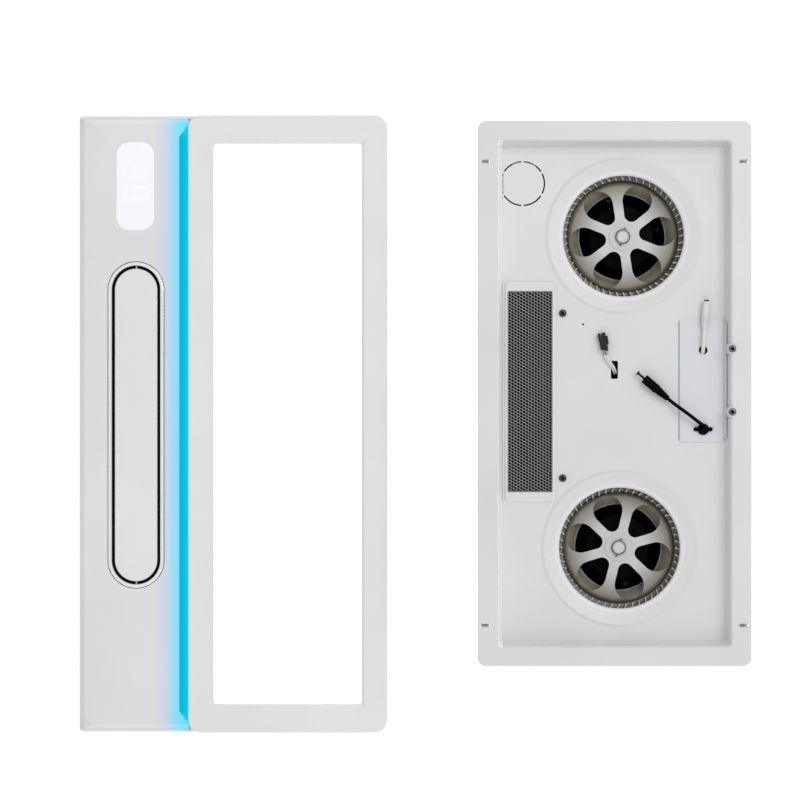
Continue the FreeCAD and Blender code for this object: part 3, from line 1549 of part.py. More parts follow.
def lamp_frame():
    """Raised frame with rounded outer edge, a lip round the window and screw posts below."""
    half_y = panel_length / 2
    high_x = panel_width / 2
    outer = prism(rounded_rect(frame_low_x, -half_y, high_x, half_y, panel_corner_r), base_rim_top,
                  frame_top_z)
    rim = [edge for edge in outer.Edges if edge.BoundBox.ZMin > frame_top_z - 0.01]
    outer = outer.makeFillet(frame_edge_r, rim)
    inner = prism(rounded_rect(frame_low_x + frame_wall, -half_y + frame_wall, high_x - frame_wall,
                               half_y - frame_wall, panel_corner_r - frame_wall), base_rim_top - 1,
                  frame_top_z - frame_skin)
    lip = prism(centred_rect(window_width + 2 * frame_wall, window_length + 2 * frame_wall,
                             window_corner_r + frame_wall, x=window_x), diffuser_top, frame_top_z - frame_skin)
    posts = [post(screw_head_r, base_floor, frame_top_z - frame_skin / 2, x, y) for x,
             y in frame_screw_places()]
    solid = fused([outer.cut(inner), lip] + posts)
    cuts = [prism(centred_rect(window_width, window_length, window_corner_r, x=window_x), base_floor,
                  frame_top_z + 1)]
    for x, y in frame_screw_places():
        cuts.append(post(screw_shank_r + thread_clearance, base_back,
                         base_back + screw_length + seat_clearance,
                         x, y))
    return solid.cut(Part.makeCompound(cuts))


def lamp_diffuser():
    grow = 2 * diffuser_overlap
    return prism(centred_rect(window_width + grow, window_length + grow, window_corner_r, x=window_x),
                 diffuser_under, diffuser_top)


def lamp_reflector():
    """White pan that holds the diffuser's edge up against the frame's lip."""
    width = window_width + 2 * diffuser_overlap
    length = window_length + 2 * diffuser_overlap
    outer = prism(centred_rect(width, length, window_corner_r, x=window_x), base_floor, diffuser_under)
    inner = prism(centred_rect(width - 2 * reflector_wall, length - 2 * reflector_wall,
                               window_corner_r - reflector_wall, x=window_x), base_floor + reflector_wall,
                  diffuser_under + 1)
    return outer.cut(inner)


def light_bars():
    """Light boards on the reflector's floor, each with a row of chips."""
    low = base_floor + reflector_wall
    step_x = window_width / light_bar_count
    reach = window_length / 2 - light_bar_width
    step_y = 2 * reach / light_chip_count
    solids = []
    for bar in range(light_bar_count):
        x = window_x - window_width / 2 + step_x * (bar + 0.5)
        solids.append(box(x - light_bar_width / 2, -reach, low, x + light_bar_width / 2, reach,
                          low + board_thickness))
        for chip in range(light_chip_count):
            y = -reach + step_y * (chip + 0.5)
            solids.append(box(x - light_chip / 2, y - light_chip / 2, low + board_thickness,
                              x + light_chip / 2,
                              y + light_chip / 2, low + board_thickness + 1))
    return Part.makeCompound(solids)


def outlet_trim():
    """Bright ring on the side plate round the outlet."""
    ring = prism(stadium(outlet_width, outlet_length, x=outlet_x, y=outlet_y), plate_top_z,
                 plate_top_z + trim_height)
    rim = [edge for edge in ring.Edges if edge.BoundBox.ZMin > plate_top_z + trim_height - 0.01]
    ring = ring.makeFillet(trim_height * 0.6, rim)
    return ring.cut(prism(stadium(throat_in_w, throat_in_l, x=outlet_x, y=outlet_y), plate_top_z - 1,
                          plate_top_z + trim_height + 1))


def outlet_throat():
    """Black sleeve through the panel with a ledge at its back, pierced at both ends for the flap pins."""
    outer = prism(stadium(throat_out_w, throat_out_l, x=outlet_x, y=outlet_y), base_back - throat_depth,
                  plate_top_z)
    low = base_back - throat_depth
    inner = prism(stadium(throat_in_w, throat_in_l, x=outlet_x, y=outlet_y), low + throat_ledge_thickness,
                  plate_top_z + 1)
    mouth = prism(stadium(throat_in_w - 2 * throat_ledge, throat_in_l - 2 * throat_ledge, x=outlet_x,
                          y=outlet_y),
                  low - 1, plate_top_z)
    start = Vector(outlet_x, outlet_y - outlet_length, flap_axis_z)
    end = Vector(outlet_x, outlet_y + outlet_length, flap_axis_z)
    return outer.cut(inner).cut(mouth).cut(rod(flap_pin_r + running_clearance, start, end))


def outlet_flap():
    """Oblong air flap with a lug at each end for its pins."""
    plate = prism(stadium(flap_w, flap_l, x=outlet_x, y=outlet_y), plate_top_z - flap_thickness, plate_top_z)
    rim = [edge for edge in plate.Edges if edge.BoundBox.ZMin > plate_top_z - 0.01]
    plate = plate.makeFillet(flap_thickness * 0.3, rim)
    pieces = [plate]
    for end in (-1, 1):
        tip = outlet_y + end * (flap_l / 2 - flap_gap)
        root = tip - end * flap_lug_length
        pieces.append(box(outlet_x - flap_lug_width / 2, min(tip, root), flap_axis_z - 2 * flap_pin_r,
                          outlet_x + flap_lug_width / 2, max(tip, root), plate_top_z - flap_thickness / 2))
    start = Vector(outlet_x, outlet_y - outlet_length, flap_axis_z)
    end = Vector(outlet_x, outlet_y + outlet_length, flap_axis_z)
    return fused(pieces).cut(rod(flap_pin_r + thread_clearance / 2, start, end))


def flap_pins():
    """Stub pin at the upper end and the driven pin at the motor end."""
    reach = flap_l / 2 - flap_gap - flap_lug_length
    low_tip = outlet_y - throat_out_l / 2 - 2 * flap_lug_length
    high_tip = outlet_y + throat_in_l / 2 + throat_wall
    low = rod(flap_pin_r, Vector(outlet_x, low_tip, flap_axis_z), Vector(outlet_x, outlet_y - reach,
                                                                         flap_axis_z))
    high = rod(flap_pin_r, Vector(outlet_x, outlet_y + reach, flap_axis_z), Vector(outlet_x, high_tip,
                                                                                   flap_axis_z))
    return Part.makeCompound([low, high])


def flap_motor():
    """Geared motor behind the plate that turns the flap's lower pin."""
    face_y = outlet_y - throat_out_l / 2 - flap_lug_length
    case = box(outlet_x - flap_motor_width / 2, face_y - flap_motor_length, base_floor,
               outlet_x + flap_motor_width / 2, face_y, plate_under - seat_clearance)
    bore = rod(flap_pin_r + running_clearance, Vector(outlet_x, face_y + 1, flap_axis_z),
               Vector(outlet_x, face_y - flap_lug_length - seat_clearance, flap_axis_z))
    return case.cut(bore)


def panel_hook(x, y):
    """Bent tongue that snaps into a spring clip of the housing."""
    foot = box(x - hook_width / 2, y - hook_foot / 2, base_back - hook_thickness, x + hook_width / 2,
               y + hook_foot / 2, base_back)
    half = hook_thickness / 2
    barb = hook_thickness
    outline = polygon([
        Vector(0, -half, base_back - hook_thickness), Vector(0, -half, hook_neck_height),
        Vector(0, -half - barb / 2, hook_barb_height), Vector(0, -half, 0), Vector(0, half, 0),
        Vector(0, half + barb / 2, hook_barb_height), Vector(0, half, hook_neck_height),
        Vector(0, half, base_back - hook_thickness)])
    tongue = Part.Face(outline).extrude(Vector(hook_width, 0, 0))
    tongue.translate(Vector(x - hook_width / 2, y, 0))
    return fused([foot, tongue])


def panel_socket(x, bored):
    """Low socket on the panel's back for one of the housing's leads."""
    body = box(x - socket_width / 2, socket_y, base_back - socket_height, x + socket_width / 2,
               socket_y + socket_length, base_back)
    centre = Vector(x, socket_y - 1, base_back - socket_height / 2)
    if bored:
        return body.cut(rod(socket_bore_r, centre, centre + Vector(0, socket_length - 2, 0)))
    slot = box(x - socket_width * 0.35, socket_y - 1, base_back - socket_height * 0.75,
               x + socket_width * 0.35,
               socket_y + socket_length - 3, base_back - socket_height * 0.25)
    return body.cut(slot)


def panel_screws():
    return Part.makeCompound([screw(Vector(x, y, base_back), Vector(0, 0, -1)) for x,
                              y in frame_screw_places()])


def screw_group(places, length=screw_length):
    return Part.makeCompound([screw(place, direction, length=length) for place, direction in places])


# The assembly

upper_fan = (upper_fan_x, upper_fan_y)
lower_fan = (lower_fan_x, lower_fan_y)
up = Vector(0, 0, 1)

housing_nodes = {
    "tray": tray(),
    "rear_casing": rear_casing(),
    "housing_screws": Part.makeCompound([
        screw_group(side_screws()),
        screw_group(bracket_screw_places() + collar_screw_places() + motor_screw_places(upper_fan)
                    + motor_screw_places(lower_fan), sheet_screw_length)]),
    "mounting_brackets": Part.makeCompound([mounting_bracket(side, end) for side in (-1,
                                                                                     1) for end in (-1, 1)]),
    "cable_gland": cable_gland(),
    "spring_clips": Part.makeCompound([spring_clip(x, y) for x, y in hook_places()]),
    "exhaust_scroll": scroll(upper_fan, 1, scroll_end),
    "heater_scroll": scroll(lower_fan, -1, tongue_y + scroll_wall),
    "motor_plates": Part.makeCompound([motor_plate(upper_fan), motor_plate(lower_fan)]),
    "exhaust_motor": motor(upper_fan),
    "heater_motor": motor(lower_fan),
    "exhaust_shaft": Part.makeCompound([shaft(upper_fan), hub_cap(upper_fan)]),
    "heater_shaft": Part.makeCompound([shaft(lower_fan), hub_cap(lower_fan)]),
    "exhaust_wheel": wheel(upper_fan, upper_spoke_deg),
    "heater_wheel": wheel(lower_fan, lower_spoke_deg),
    "exhaust_blades": blade_ring(upper_fan, 1),
    "heater_blades": blade_ring(lower_fan, -1),
    "heater_duct": heater_duct(),
    "heater_frame": heater_frame(),
    "heater_elements": Part.makeCompound(heater_bars() + heater_fins()),
    "outlet_grille": outlet_grille(),
    "grille_screws": screw_group([(Vector(x, y, floor_top), up) for x, y in ear_places()]),
    "duct_collar": duct_collar(),
    "damper_pin": damper_pin(),
    "damper_flap_left": damper_flap(-1),
    "damper_flap_right": damper_flap(1),
    "control_box": control_box(),
    "control_board": control_board(),
    "board_components": Part.makeCompound(relays() + [run_capacitor(), lead_socket()]),
    "terminal_block": terminal_block(),
    "control_cover": control_cover(),
    "cover_screws": screw_group([(Vector(x, y, flange_top + cover_thickness), up)
                                 for x, y in cover_screw_places()]),
    "dc_grommet": dc_grommet(),
    "dc_lead": tube(dc_lead_route, dc_lead_r, "dc lead"),
    "dc_plug": dc_plug(),
    "dc_plug_barrel": dc_barrel(),
    "white_lead": tube(white_lead_route, white_lead_r, "white lead"),
    "white_connector": white_connector(),
    "signal_wire_left": signal_wire(-1),
    "signal_wire_right": signal_wire(1),
    "signal_connector": signal_plug(),
    "wire_holder": wire_holder(),
}

panel_nodes = {
    "panel_base": panel_base(),
    "side_plate": side_plate(),
    "display_lens": display_lens(),
    "display_board": display_board(),
    "light_strip": light_strip(),
    "strip_light_board": strip_light_board(),
    "lamp_frame": lamp_frame(),
    "lamp_diffuser": lamp_diffuser(),
    "lamp_reflector": lamp_reflector(),
    "lamp_light_bars": light_bars(),
    "outlet_trim": outlet_trim(),
    "outlet_throat": outlet_throat(),
    "outlet_flap": outlet_flap(),
    "flap_pins": flap_pins(),
    "flap_motor": flap_motor(),
    "panel_hooks": Part.makeCompound([panel_hook(x, y) for x, y in base_hook_places()]),
    "panel_sockets": Part.makeCompound([panel_socket(dc_socket_x, True), panel_socket(signal_socket_x,
                                                                                      False)]),
    "panel_screws": panel_screws(),
}

os.makedirs("parts", exist_ok=True)
for node, shape in panel_nodes.items():
    shape.translate(Vector(panel_x, panel_y, 0))
for node, shape in {**housing_nodes, **panel_nodes}.items():
    shape.exportStep("parts/" + node + ".step")
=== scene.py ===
import math

import bmesh
import bpy
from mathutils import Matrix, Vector


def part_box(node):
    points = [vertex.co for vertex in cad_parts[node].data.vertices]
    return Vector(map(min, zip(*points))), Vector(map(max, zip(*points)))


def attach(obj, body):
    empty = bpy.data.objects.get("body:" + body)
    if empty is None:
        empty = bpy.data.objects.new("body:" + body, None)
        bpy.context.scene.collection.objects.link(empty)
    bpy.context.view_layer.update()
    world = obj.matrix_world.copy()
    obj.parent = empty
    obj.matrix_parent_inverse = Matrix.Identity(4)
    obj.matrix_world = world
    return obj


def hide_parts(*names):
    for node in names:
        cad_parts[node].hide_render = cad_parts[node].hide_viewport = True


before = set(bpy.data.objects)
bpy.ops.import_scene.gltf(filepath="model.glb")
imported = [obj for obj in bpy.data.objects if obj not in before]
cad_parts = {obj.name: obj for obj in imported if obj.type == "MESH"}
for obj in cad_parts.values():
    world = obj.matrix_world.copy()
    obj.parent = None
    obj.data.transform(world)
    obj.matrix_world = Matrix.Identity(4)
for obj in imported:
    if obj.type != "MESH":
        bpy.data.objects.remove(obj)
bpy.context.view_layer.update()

bl_info = {
    "name": "Ceiling ventilation unit",
    "version": (1, 0, 0),
    "blender": (4, 5, 0),
    "location": "3D View > Sidebar > Ventilation",
    "description": "Dresses the housing, blowers, leads and face panel of a bathroom ceiling unit",
    "category": "Object",
}

MM = 0.001


def node(name):
    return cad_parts[name]


def corners(name):
    low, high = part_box(name)
    return Vector(low), Vector(high)


def middle(name):
    low, high = corners(name)
    return (low + high) / 2


# Settings that a user would change

RGB = {"size": 3, "min": 0, "max": 1}


class HousingSettings(bpy.types.PropertyGroup):
    tray_white: bpy.props.FloatVectorProperty(
        name="Tray white", description="Moulded white of the tray and collar",
        subtype="COLOR", default=(0.735, 0.735, 0.735), **RGB)
    wheel_plate: bpy.props.FloatVectorProperty(
        name="Wheel plate", description="Bare metal at the middle of the blower wheels",
        subtype="COLOR", default=(0.62, 0.615, 0.605), **RGB)
    # Rim colour: darker than the plate as painted shade, with a warm tint of its own.
    wheel_rim_shaded: bpy.props.FloatVectorProperty(
        name="Wheel rim", description="Warmer metal at the rim of the blower wheels",
        subtype="COLOR", default=(0.245, 0.232, 0.185), **RGB)
    wheel_blade: bpy.props.FloatVectorProperty(
        name="Wheel blades", description="Shaded olive of the blower blades",
        subtype="COLOR", default=(0.56, 0.54, 0.48), **RGB)
    blade_count: bpy.props.IntProperty(
        name="Blades", description="Blades round each blower wheel", min=12, max=90, default=52)
    blade_twist: bpy.props.FloatProperty(
        name="Blade twist", description="Turn of each blade from its tip down to its foot",
        subtype="ANGLE", min=0, max=0.3, default=math.radians(2.0))
    blade_reach: bpy.props.FloatProperty(
        name="Blade reach", description="Depth of the blade ring from its rim inwards",
        unit="LENGTH", min=0.002, max=0.02, default=5.8 * MM)
    tie_depth: bpy.props.FloatProperty(
        name="Tie ring depth", description="How far below the blade tips the tie ring lies",
        unit="LENGTH", min=0.002, max=0.05, default=20 * MM)
    wheel_drum: bpy.props.FloatVectorProperty(
        name="Wheel drum", description="Brownish steel seen through the wheel's holes",
        subtype="COLOR", default=(0.25, 0.235, 0.19), **RGB)
    drum_taper: bpy.props.FloatProperty(
        name="Drum taper", description="How much the drum's radius narrows towards its foot",
        unit="LENGTH", min=0, max=0.02, default=10 * MM)
    drum_depth: bpy.props.FloatProperty(
        name="Drum depth", description="Height of the drum under the hub plate",
        unit="LENGTH", min=0.002, max=0.05, default=13 * MM)
    black: bpy.props.FloatVectorProperty(
        name="Black", description="Black of the scrolls, motors, leads and throat",
        subtype="COLOR", default=(0.002, 0.002, 0.002), **RGB)
    mesh_grey: bpy.props.FloatVectorProperty(
        name="Mesh grey", description="Grey paint of the warm-air mesh",
        subtype="COLOR", default=(0.25, 0.25, 0.25), **RGB)
    mesh_pitch: bpy.props.FloatProperty(
        name="Mesh pitch", description="Spacing of the mesh's columns of holes",
        unit="LENGTH", min=0.001, max=0.02, default=2.77 * MM)
    mesh_rise: bpy.props.FloatProperty(
        name="Mesh rise", description="Spacing of the holes in one column",
        unit="LENGTH", min=0.001, max=0.02, default=2.97 * MM)
    mesh_strand: bpy.props.FloatProperty(
        name="Mesh strand", description="Half the width of the metal between two holes",
        unit="LENGTH", min=0.0001, max=0.002, default=0.34 * MM)
    mesh_slant: bpy.props.FloatProperty(
        name="Mesh slant", description="Direction in which the mesh's holes are drawn out",
        subtype="ANGLE", min=0, max=1.6, default=math.radians(45.0))


class PanelSettings(bpy.types.PropertyGroup):
    plate_white: bpy.props.FloatVectorProperty(
        name="Plate white", description="Lacquered white of the side plate and lamp frame",
        subtype="COLOR", default=(0.845, 0.845, 0.855), **RGB)
    strip_deep: bpy.props.FloatVectorProperty(
        name="Strip deep", description="Light strip colour beside the side plate",
        subtype="COLOR", default=(0.004, 0.46, 0.74), **RGB)
    strip_bright: bpy.props.FloatVectorProperty(
        name="Strip bright", description="Light strip colour beside the lamp frame",
        subtype="COLOR", default=(0.006, 0.63, 0.80), **RGB)
    strip_light: bpy.props.FloatProperty(
        name="Strip light", description="Strength of the light strip", min=0, max=5, default=0.9)
    # Reach of the painted glow that the strip's light leaves on the side plate.
    glow_reach: bpy.props.FloatProperty(
        name="Glow reach", description="How far the strip's light shows in the side plate",
        unit="LENGTH", min=0.001, max=0.1, default=25 * MM)
    lamp_light: bpy.props.FloatProperty(
        name="Lamp light", description="Strength of the diffuser's light", min=0, max=5, default=1.0)
    digit_length: bpy.props.FloatProperty(
        name="Digit length", description="Length of a display digit, which lies sideways",
        unit="LENGTH", min=0.005, max=0.05, default=24.6 * MM)
    digit_width: bpy.props.FloatProperty(
        name="Digit width", description="Width of a display digit",
        unit="LENGTH", min=0.003, max=0.05, default=13.4 * MM)
    digit_stroke: bpy.props.FloatProperty(
        name="Digit stroke", description="Width of a display segment",
        unit="LENGTH", min=0.0005, max=0.01, default=1.9 * MM)


class StageSettings(bpy.types.PropertyGroup):
    camera_place: bpy.props.FloatVectorProperty(
        name="Camera place", description="Camera straight above the bench",
        subtype="TRANSLATION", size=3, default=(-0.204, -0.0062, 4.535))
    view_width: bpy.props.FloatProperty(
        name="View width", description="Bench width that fills the picture at the view's plane",
        unit="LENGTH", min=0.1, max=5, default=0.7779)
    view_plane: bpy.props.FloatProperty(
        name="View plane", description="Height of the plane that the view width is measured at",
        unit="LENGTH", min=0, max=1, default=0.036)
    floor_white: bpy.props.FloatVectorProperty(
        name="Floor white", description="Pale studio floor",
        subtype="COLOR", default=(0.30, 0.30, 0.30), **RGB)


# Shader building

class Value:
    """A shader socket whose arithmetic adds Math nodes."""

    def __init__(self, finish, socket):
        self.finish = finish
        self.socket = socket

    def maths(self, operation, other=0.0, swapped=False):
        pair = (other, self) if swapped else (self, other)
        return self.finish.add("ShaderNodeMath", {"operation": operation}, {0: pair[0], 1: pair[1]})

    def __add__(self, other):
        return self.maths("ADD", other)

    def __radd__(self, other):
        return self.maths("ADD", other, True)

    def __mul__(self, other):
        return self.maths("MULTIPLY", other)

    def __rmul__(self, other):
        return self.maths("MULTIPLY", other, True)

    def __abs__(self):
        return self.maths("ABSOLUTE")

    def __gt__(self, other):
        return self.maths("GREATER_THAN", other)

    def __lt__(self, other):
        return self.maths("LESS_THAN", other)


class Finish:
    """One material with its Principled shader and the nodes that feed it."""

    def __init__(self, name):
        self.material = bpy.data.materials.new(name)
        self.material.use_nodes = True
        self.tree = self.material.node_tree
        self.shader = self.tree.nodes["Principled BSDF"]

    def add(self, kind, settings, values, output=0):
        made = self.tree.nodes.new(kind)
        for name, setting in settings.items():
            if name == "stops":
                self.set_stops(made.color_ramp, setting)
            else:
                setattr(made, name, setting)
        for name, value in values.items():
            self.feed(made.inputs[name], value)
        return Value(self, made.outputs[output])

    def set_stops(self, ramp, stops):
        while len(ramp.elements) > 1:
            ramp.elements.remove(ramp.elements[-1])
        for number, (place, colour) in enumerate(stops):
            stop = ramp.elements[0] if number == 0 else ramp.elements.new(place)
            stop.position = place
            stop.color = (*colour, 1)

    def feed(self, socket, value):
        if isinstance(value, Value):
            self.tree.links.new(value.socket, socket)
        else:
            socket.default_value = value

    def set(self, **values):
        for name, value in values.items():
            self.feed(self.shader.inputs[name.replace("_", " ")], value)
        return self

    def place(self, centre=(0, 0, 0)):
        """Object coordinates measured from a centre."""
        coords = self.add("ShaderNodeTexCoord", {}, {}, "Object")
        return self.add("ShaderNodeVectorMath", {"operation": "SUBTRACT"}, {0: coords, 1: centre})

    def axes(self, centre=(0, 0, 0)):
        """The three Object coordinates measured from a centre."""
        parts = self.add("ShaderNodeSeparateXYZ", {}, {0: self.place(centre)})
        return [Value(self, socket) for socket in parts.socket.node.outputs]

    def reach(self, centre):
        """Distance from the upright axis through a centre."""
        x, y = self.axes(centre)[:2]
        return (x * x + y * y).maths("SQRT")

    def plain(self):
        """The colour that the shader has so far."""
        return Value(self, self.shader.inputs["Base Color"].links[0].from_socket)

    def noise(self, vector, scale, detail=3.0):
        return self.add("ShaderNodeTexNoise", {}, {"Vector": vector, "Scale": scale, "Detail": detail})

    def cloud(self, vector, scale, low=0.0, high=1.0, detail=3.0):
        """Soft noise spread over a range."""
        return self.span(self.noise(vector, scale, detail), 0.3, 0.7, low, high)

    def mix(self, factor, first, second, blend="MIX"):
        return self.add("ShaderNodeMix", {"data_type": "RGBA", "blend_type": blend},
                        {0: factor, 6: first, 7: second}, 2)

    def stain(self, colour, tint):
        """A colour darkened or tinted by another."""
        return self.mix(1.0, colour, tint, "MULTIPLY")

    def ramp(self, value, stops):
        return self.add("ShaderNodeValToRGB", {"stops": stops}, {0: value})

    def span(self, value, low, high, to_low=0.0, to_high=1.0):
        return self.add("ShaderNodeMapRange", {"clamp": True},
                        {0: value, 1: low, 2: high, 3: to_low, 4: to_high})

    def fade(self, value, start, end):
        """One up to the start, nothing past the end."""
        return self.span(value, start, end, 1.0, 0.0)

    def bump(self, height, strength, distance):
        return self.add("ShaderNodeBump", {},
                        {"Strength": strength, "Distance": distance, "Height": height})


def tone(colour, factor=1.0):
    return (*[min(1.0, channel * factor) for channel in colour], 1)


def greys(*stops):
    """Stops of a ramp that only shades."""
    return [(place, (shade, shade, shade)) for place, shade in stops]


def dress(finish, *names):
    """Puts a finish on CAD nodes."""
    for name in names:
        made = node(name)
        made.data.materials.clear()
        made.data.materials.append(finish.material)


# Finishes of this unit

def moulded_white(name, colour, roughness=0.42):
    """Injection-moulded plastic: faint cloudiness and a fine spark-eroded grain."""
    finish = Finish(name)
    place = finish.place()
    fine = finish.noise(place, 1400.0, 2.0)
    patches = finish.span(finish.noise(place, 9.0, 4.0), 0.35, 0.65)
    shade = finish.mix(patches, tone(colour, 0.975), tone(colour, 1.02))
    gloss = finish.cloud(place, 60.0, roughness - 0.04, roughness + 0.06)
    return finish.set(Base_Color=shade, Roughness=gloss, Normal=finish.bump(fine, 0.25, 0.08 * MM))


def black_plastic(name, colour, shine=0.2):
    """Dark moulding with a fine leathery grain."""
    finish = Finish(name)
    place = finish.place()
    grain = finish.noise(place, 900.0)
    shade = finish.mix(finish.cloud(place, 40.0), tone(colour, 0.7), tone(colour, 1.6))
    gloss = finish.span(grain, 0.3, 0.7, 0.4, 0.62)
    return finish.set(Base_Color=shade, Roughness=gloss, Specular_IOR_Level=shine,
                      Normal=finish.bump(grain, 0.3, 0.1 * MM))


def plated_metal(name, colour, roughness=0.34, scale=260.0, metallic=1.0):
    """Zinc-plated or bare steel with a soft spangle."""
    finish = Finish(name)
    place = finish.place()
    spangle = finish.add("ShaderNodeTexVoronoi", {}, {"Vector": place, "Scale": scale}, "Distance")
    shade = finish.mix(finish.span(spangle, 0.1, 0.7), tone(colour, 0.86), tone(colour, 1.1))
    gloss = finish.cloud(place, 320.0, roughness - 0.06, roughness + 0.1)
    return finish.set(Base_Color=shade, Roughness=gloss, Metallic=metallic)


def chrome_painted_glow(name):
    """Polished plating with the faintest haze and a faint painted glow that whitens it as a bright reflection
    would.
    """
    finish = Finish(name)
    haze = finish.cloud(finish.place(), 120.0, detail=2.0)
    shade = finish.mix(haze, (0.86, 0.86, 0.87, 1), (0.92, 0.92, 0.93, 1))
    gloss = finish.span(haze, 0.0, 1.0, 0.05, 0.1)
    # Painted glow: the chrome gives off a little light of its own, though it is no lamp.
    return finish.set(Base_Color=shade, Roughness=gloss, Metallic=1.0, Emission_Color=(1, 1, 1, 1),
                      Emission_Strength=0.2)


# Modelling helpers

def start_fresh():
    if bpy.context.object and bpy.context.object.mode != "OBJECT":
        bpy.ops.object.mode_set(mode="OBJECT")
    bpy.ops.object.select_all(action="DESELECT")


def take(piece):
    start_fresh()
    piece.select_set(True)
    bpy.context.view_layer.objects.active = piece
    return piece


def begin(shape, **settings):
    """Adds a primitive at the origin and opens it for editing."""
    start_fresh()
    getattr(bpy.ops.mesh, f"primitive_{shape}_add")(**settings)
    piece = bpy.context.object
    bpy.ops.object.mode_set(mode="EDIT")
    bpy.ops.mesh.select_all(action="SELECT")
    return piece


def pick(piece, test, domain="FACE"):
    """Selects the faces or vertices whose place and direction pass a test."""
    bpy.ops.mesh.select_mode(type=domain)
    bpy.ops.mesh.select_all(action="DESELECT")
    mesh = bmesh.from_edit_mesh(piece.data)
    if domain == "VERT":
        for vertex in mesh.verts:
            vertex.select_set(test(vertex.co))
    else:
        for face in mesh.faces:
            face.select_set(test(face.calc_center_median(), face.normal))
    mesh.select_flush_mode()
    bmesh.update_edit_mesh(piece.data)


def extrude(x, y, z):
    bpy.ops.mesh.extrude_region_move(TRANSFORM_OT_translate={"value": (x, y, z)})


def move(x, y, z):
    bpy.ops.transform.translate(value=(x, y, z))


def resize(x, y, z=1, centre=(0, 0, 0)):
    bpy.ops.transform.resize(value=(x, y, z), center_override=centre)


def rotate(angle, axis="Z"):
    bpy.ops.transform.rotate(value=angle, orient_axis=axis, center_override=(0, 0, 0))


def take_all(domain="FACE"):
    bpy.ops.mesh.select_mode(type=domain)
    bpy.ops.mesh.select_all(action="SELECT")


def hollow(wall, height):
    """Takes the middle out of a flat face and raises the wall that is left round it."""
    take_all()
    bpy.ops.mesh.inset(thickness=wall)
    bpy.ops.mesh.delete(type="FACE")
    bpy.ops.mesh.select_all(action="SELECT")
    extrude(0, 0, height)


def cut_off(place, way):
    """Cuts away what lies beyond a plane."""
    bpy.ops.mesh.select_all(action="SELECT")
    bpy.ops.mesh.bisect(plane_co=place, plane_no=way, clear_outer=True)


def tidy_shell(piece, smooth=35):
    """Turns all faces outwards, leaves editing and smooths the shallow edges."""
    bpy.ops.mesh.select_all(action="SELECT")
    bpy.ops.mesh.normals_make_consistent(inside=False)
    bpy.ops.object.mode_set(mode="OBJECT")
    bpy.ops.object.shade_smooth_by_angle(angle=math.radians(smooth))
    return piece


def turned(profile, sides=32):
    """Round piece along +Z from steps of radius and height in millimetres, left open for editing."""
    radius, height = profile[0]
    piece = begin("circle", vertices=sides, radius=radius * MM, fill_type="NGON")
    for next_radius, next_height in profile[1:]:
        extrude(0, 0, (next_height - height) * MM)
        resize(next_radius / radius, next_radius / radius, centre=(0, 0, next_height * MM))
        radius, height = next_radius, next_height
    return piece


def apply_modifier(piece, kind, **settings):
    take(piece)
    modifier = piece.modifiers.new(kind.title(), kind)
    for name, value in settings.items():
        setattr(modifier, name, value)
    bpy.ops.object.modifier_apply(modifier=modifier.name)
    return piece


def thicken(piece, thickness):
    """Gives an open sheet its thickness, half to each side, and smooths its shallow edges."""
    bpy.ops.object.mode_set(mode="OBJECT")
    apply_modifier(piece, "SOLIDIFY", thickness=thickness, offset=0)
    bpy.ops.object.shade_smooth_by_angle(angle=math.radians(35))
    return piece


def twin(piece, place=(0, 0, 0), turn=0.0):
    """Copy with a mesh of its own, set at a place and turned about +Z."""
    take(piece)
    bpy.ops.object.duplicate(linked=False)
    made = bpy.context.object
    made.location = place
    made.rotation_euler = (0, 0, turn)
    return made


def settle():
    """Applies the place, turn and scale of what is selected."""
    bpy.ops.object.transform_apply(location=True, rotation=True, scale=True)


def join(pieces):
    start_fresh()
    for piece in pieces:
        piece.select_set(True)
    bpy.context.view_layer.objects.active = pieces[0]
    settle()
    bpy.ops.object.join()
    return bpy.context.object


def drop(piece):
    take(piece)
    bpy.ops.object.delete()


def seat(piece, body, slot, finish, name, *replaced):
    """Names a piece, applies its place, gives it its finish and ties it to its body."""
    take(piece)
    if piece.type == "MESH":
        settle()
    piece.name = name
    piece.data.name = name
    piece.data.materials.clear()
    piece.data.materials.append(finish.material)
    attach(piece, body)
    if replaced:
        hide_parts(*replaced)
    start_fresh()
    return piece


def aim(piece, place, direction):
    """Sets a piece that was made along +Z at a place, pointing along a direction."""
    piece.location = place
    piece.rotation_euler = Vector(direction).to_track_quat("Z", "Y").to_euler()


def oblong_ring(width, length, wall, height):
    """Flat-sided ring with round ends, left in object mode."""
    piece = begin("circle", vertices=64, radius=width / 2, fill_type="NGON")
    rotate(math.pi / 64)
    for side in (-1, 1):
        pick(piece, lambda place: place.y * side > 0, "VERT")
        move(0, side * (length - width) / 2, 0)
    hollow(wall, height)
    return tidy_shell(piece, 30)


def flat_ring(outer, width, depth, level):
    """Flat round ring whose foot lies at a level, left in object mode."""
    ring = begin("circle", vertices=96, radius=outer, fill_type="NGON")
    hollow(width, depth)
    tidy_shell(ring, 30)
    ring.location = (0, 0, level)
    return ring


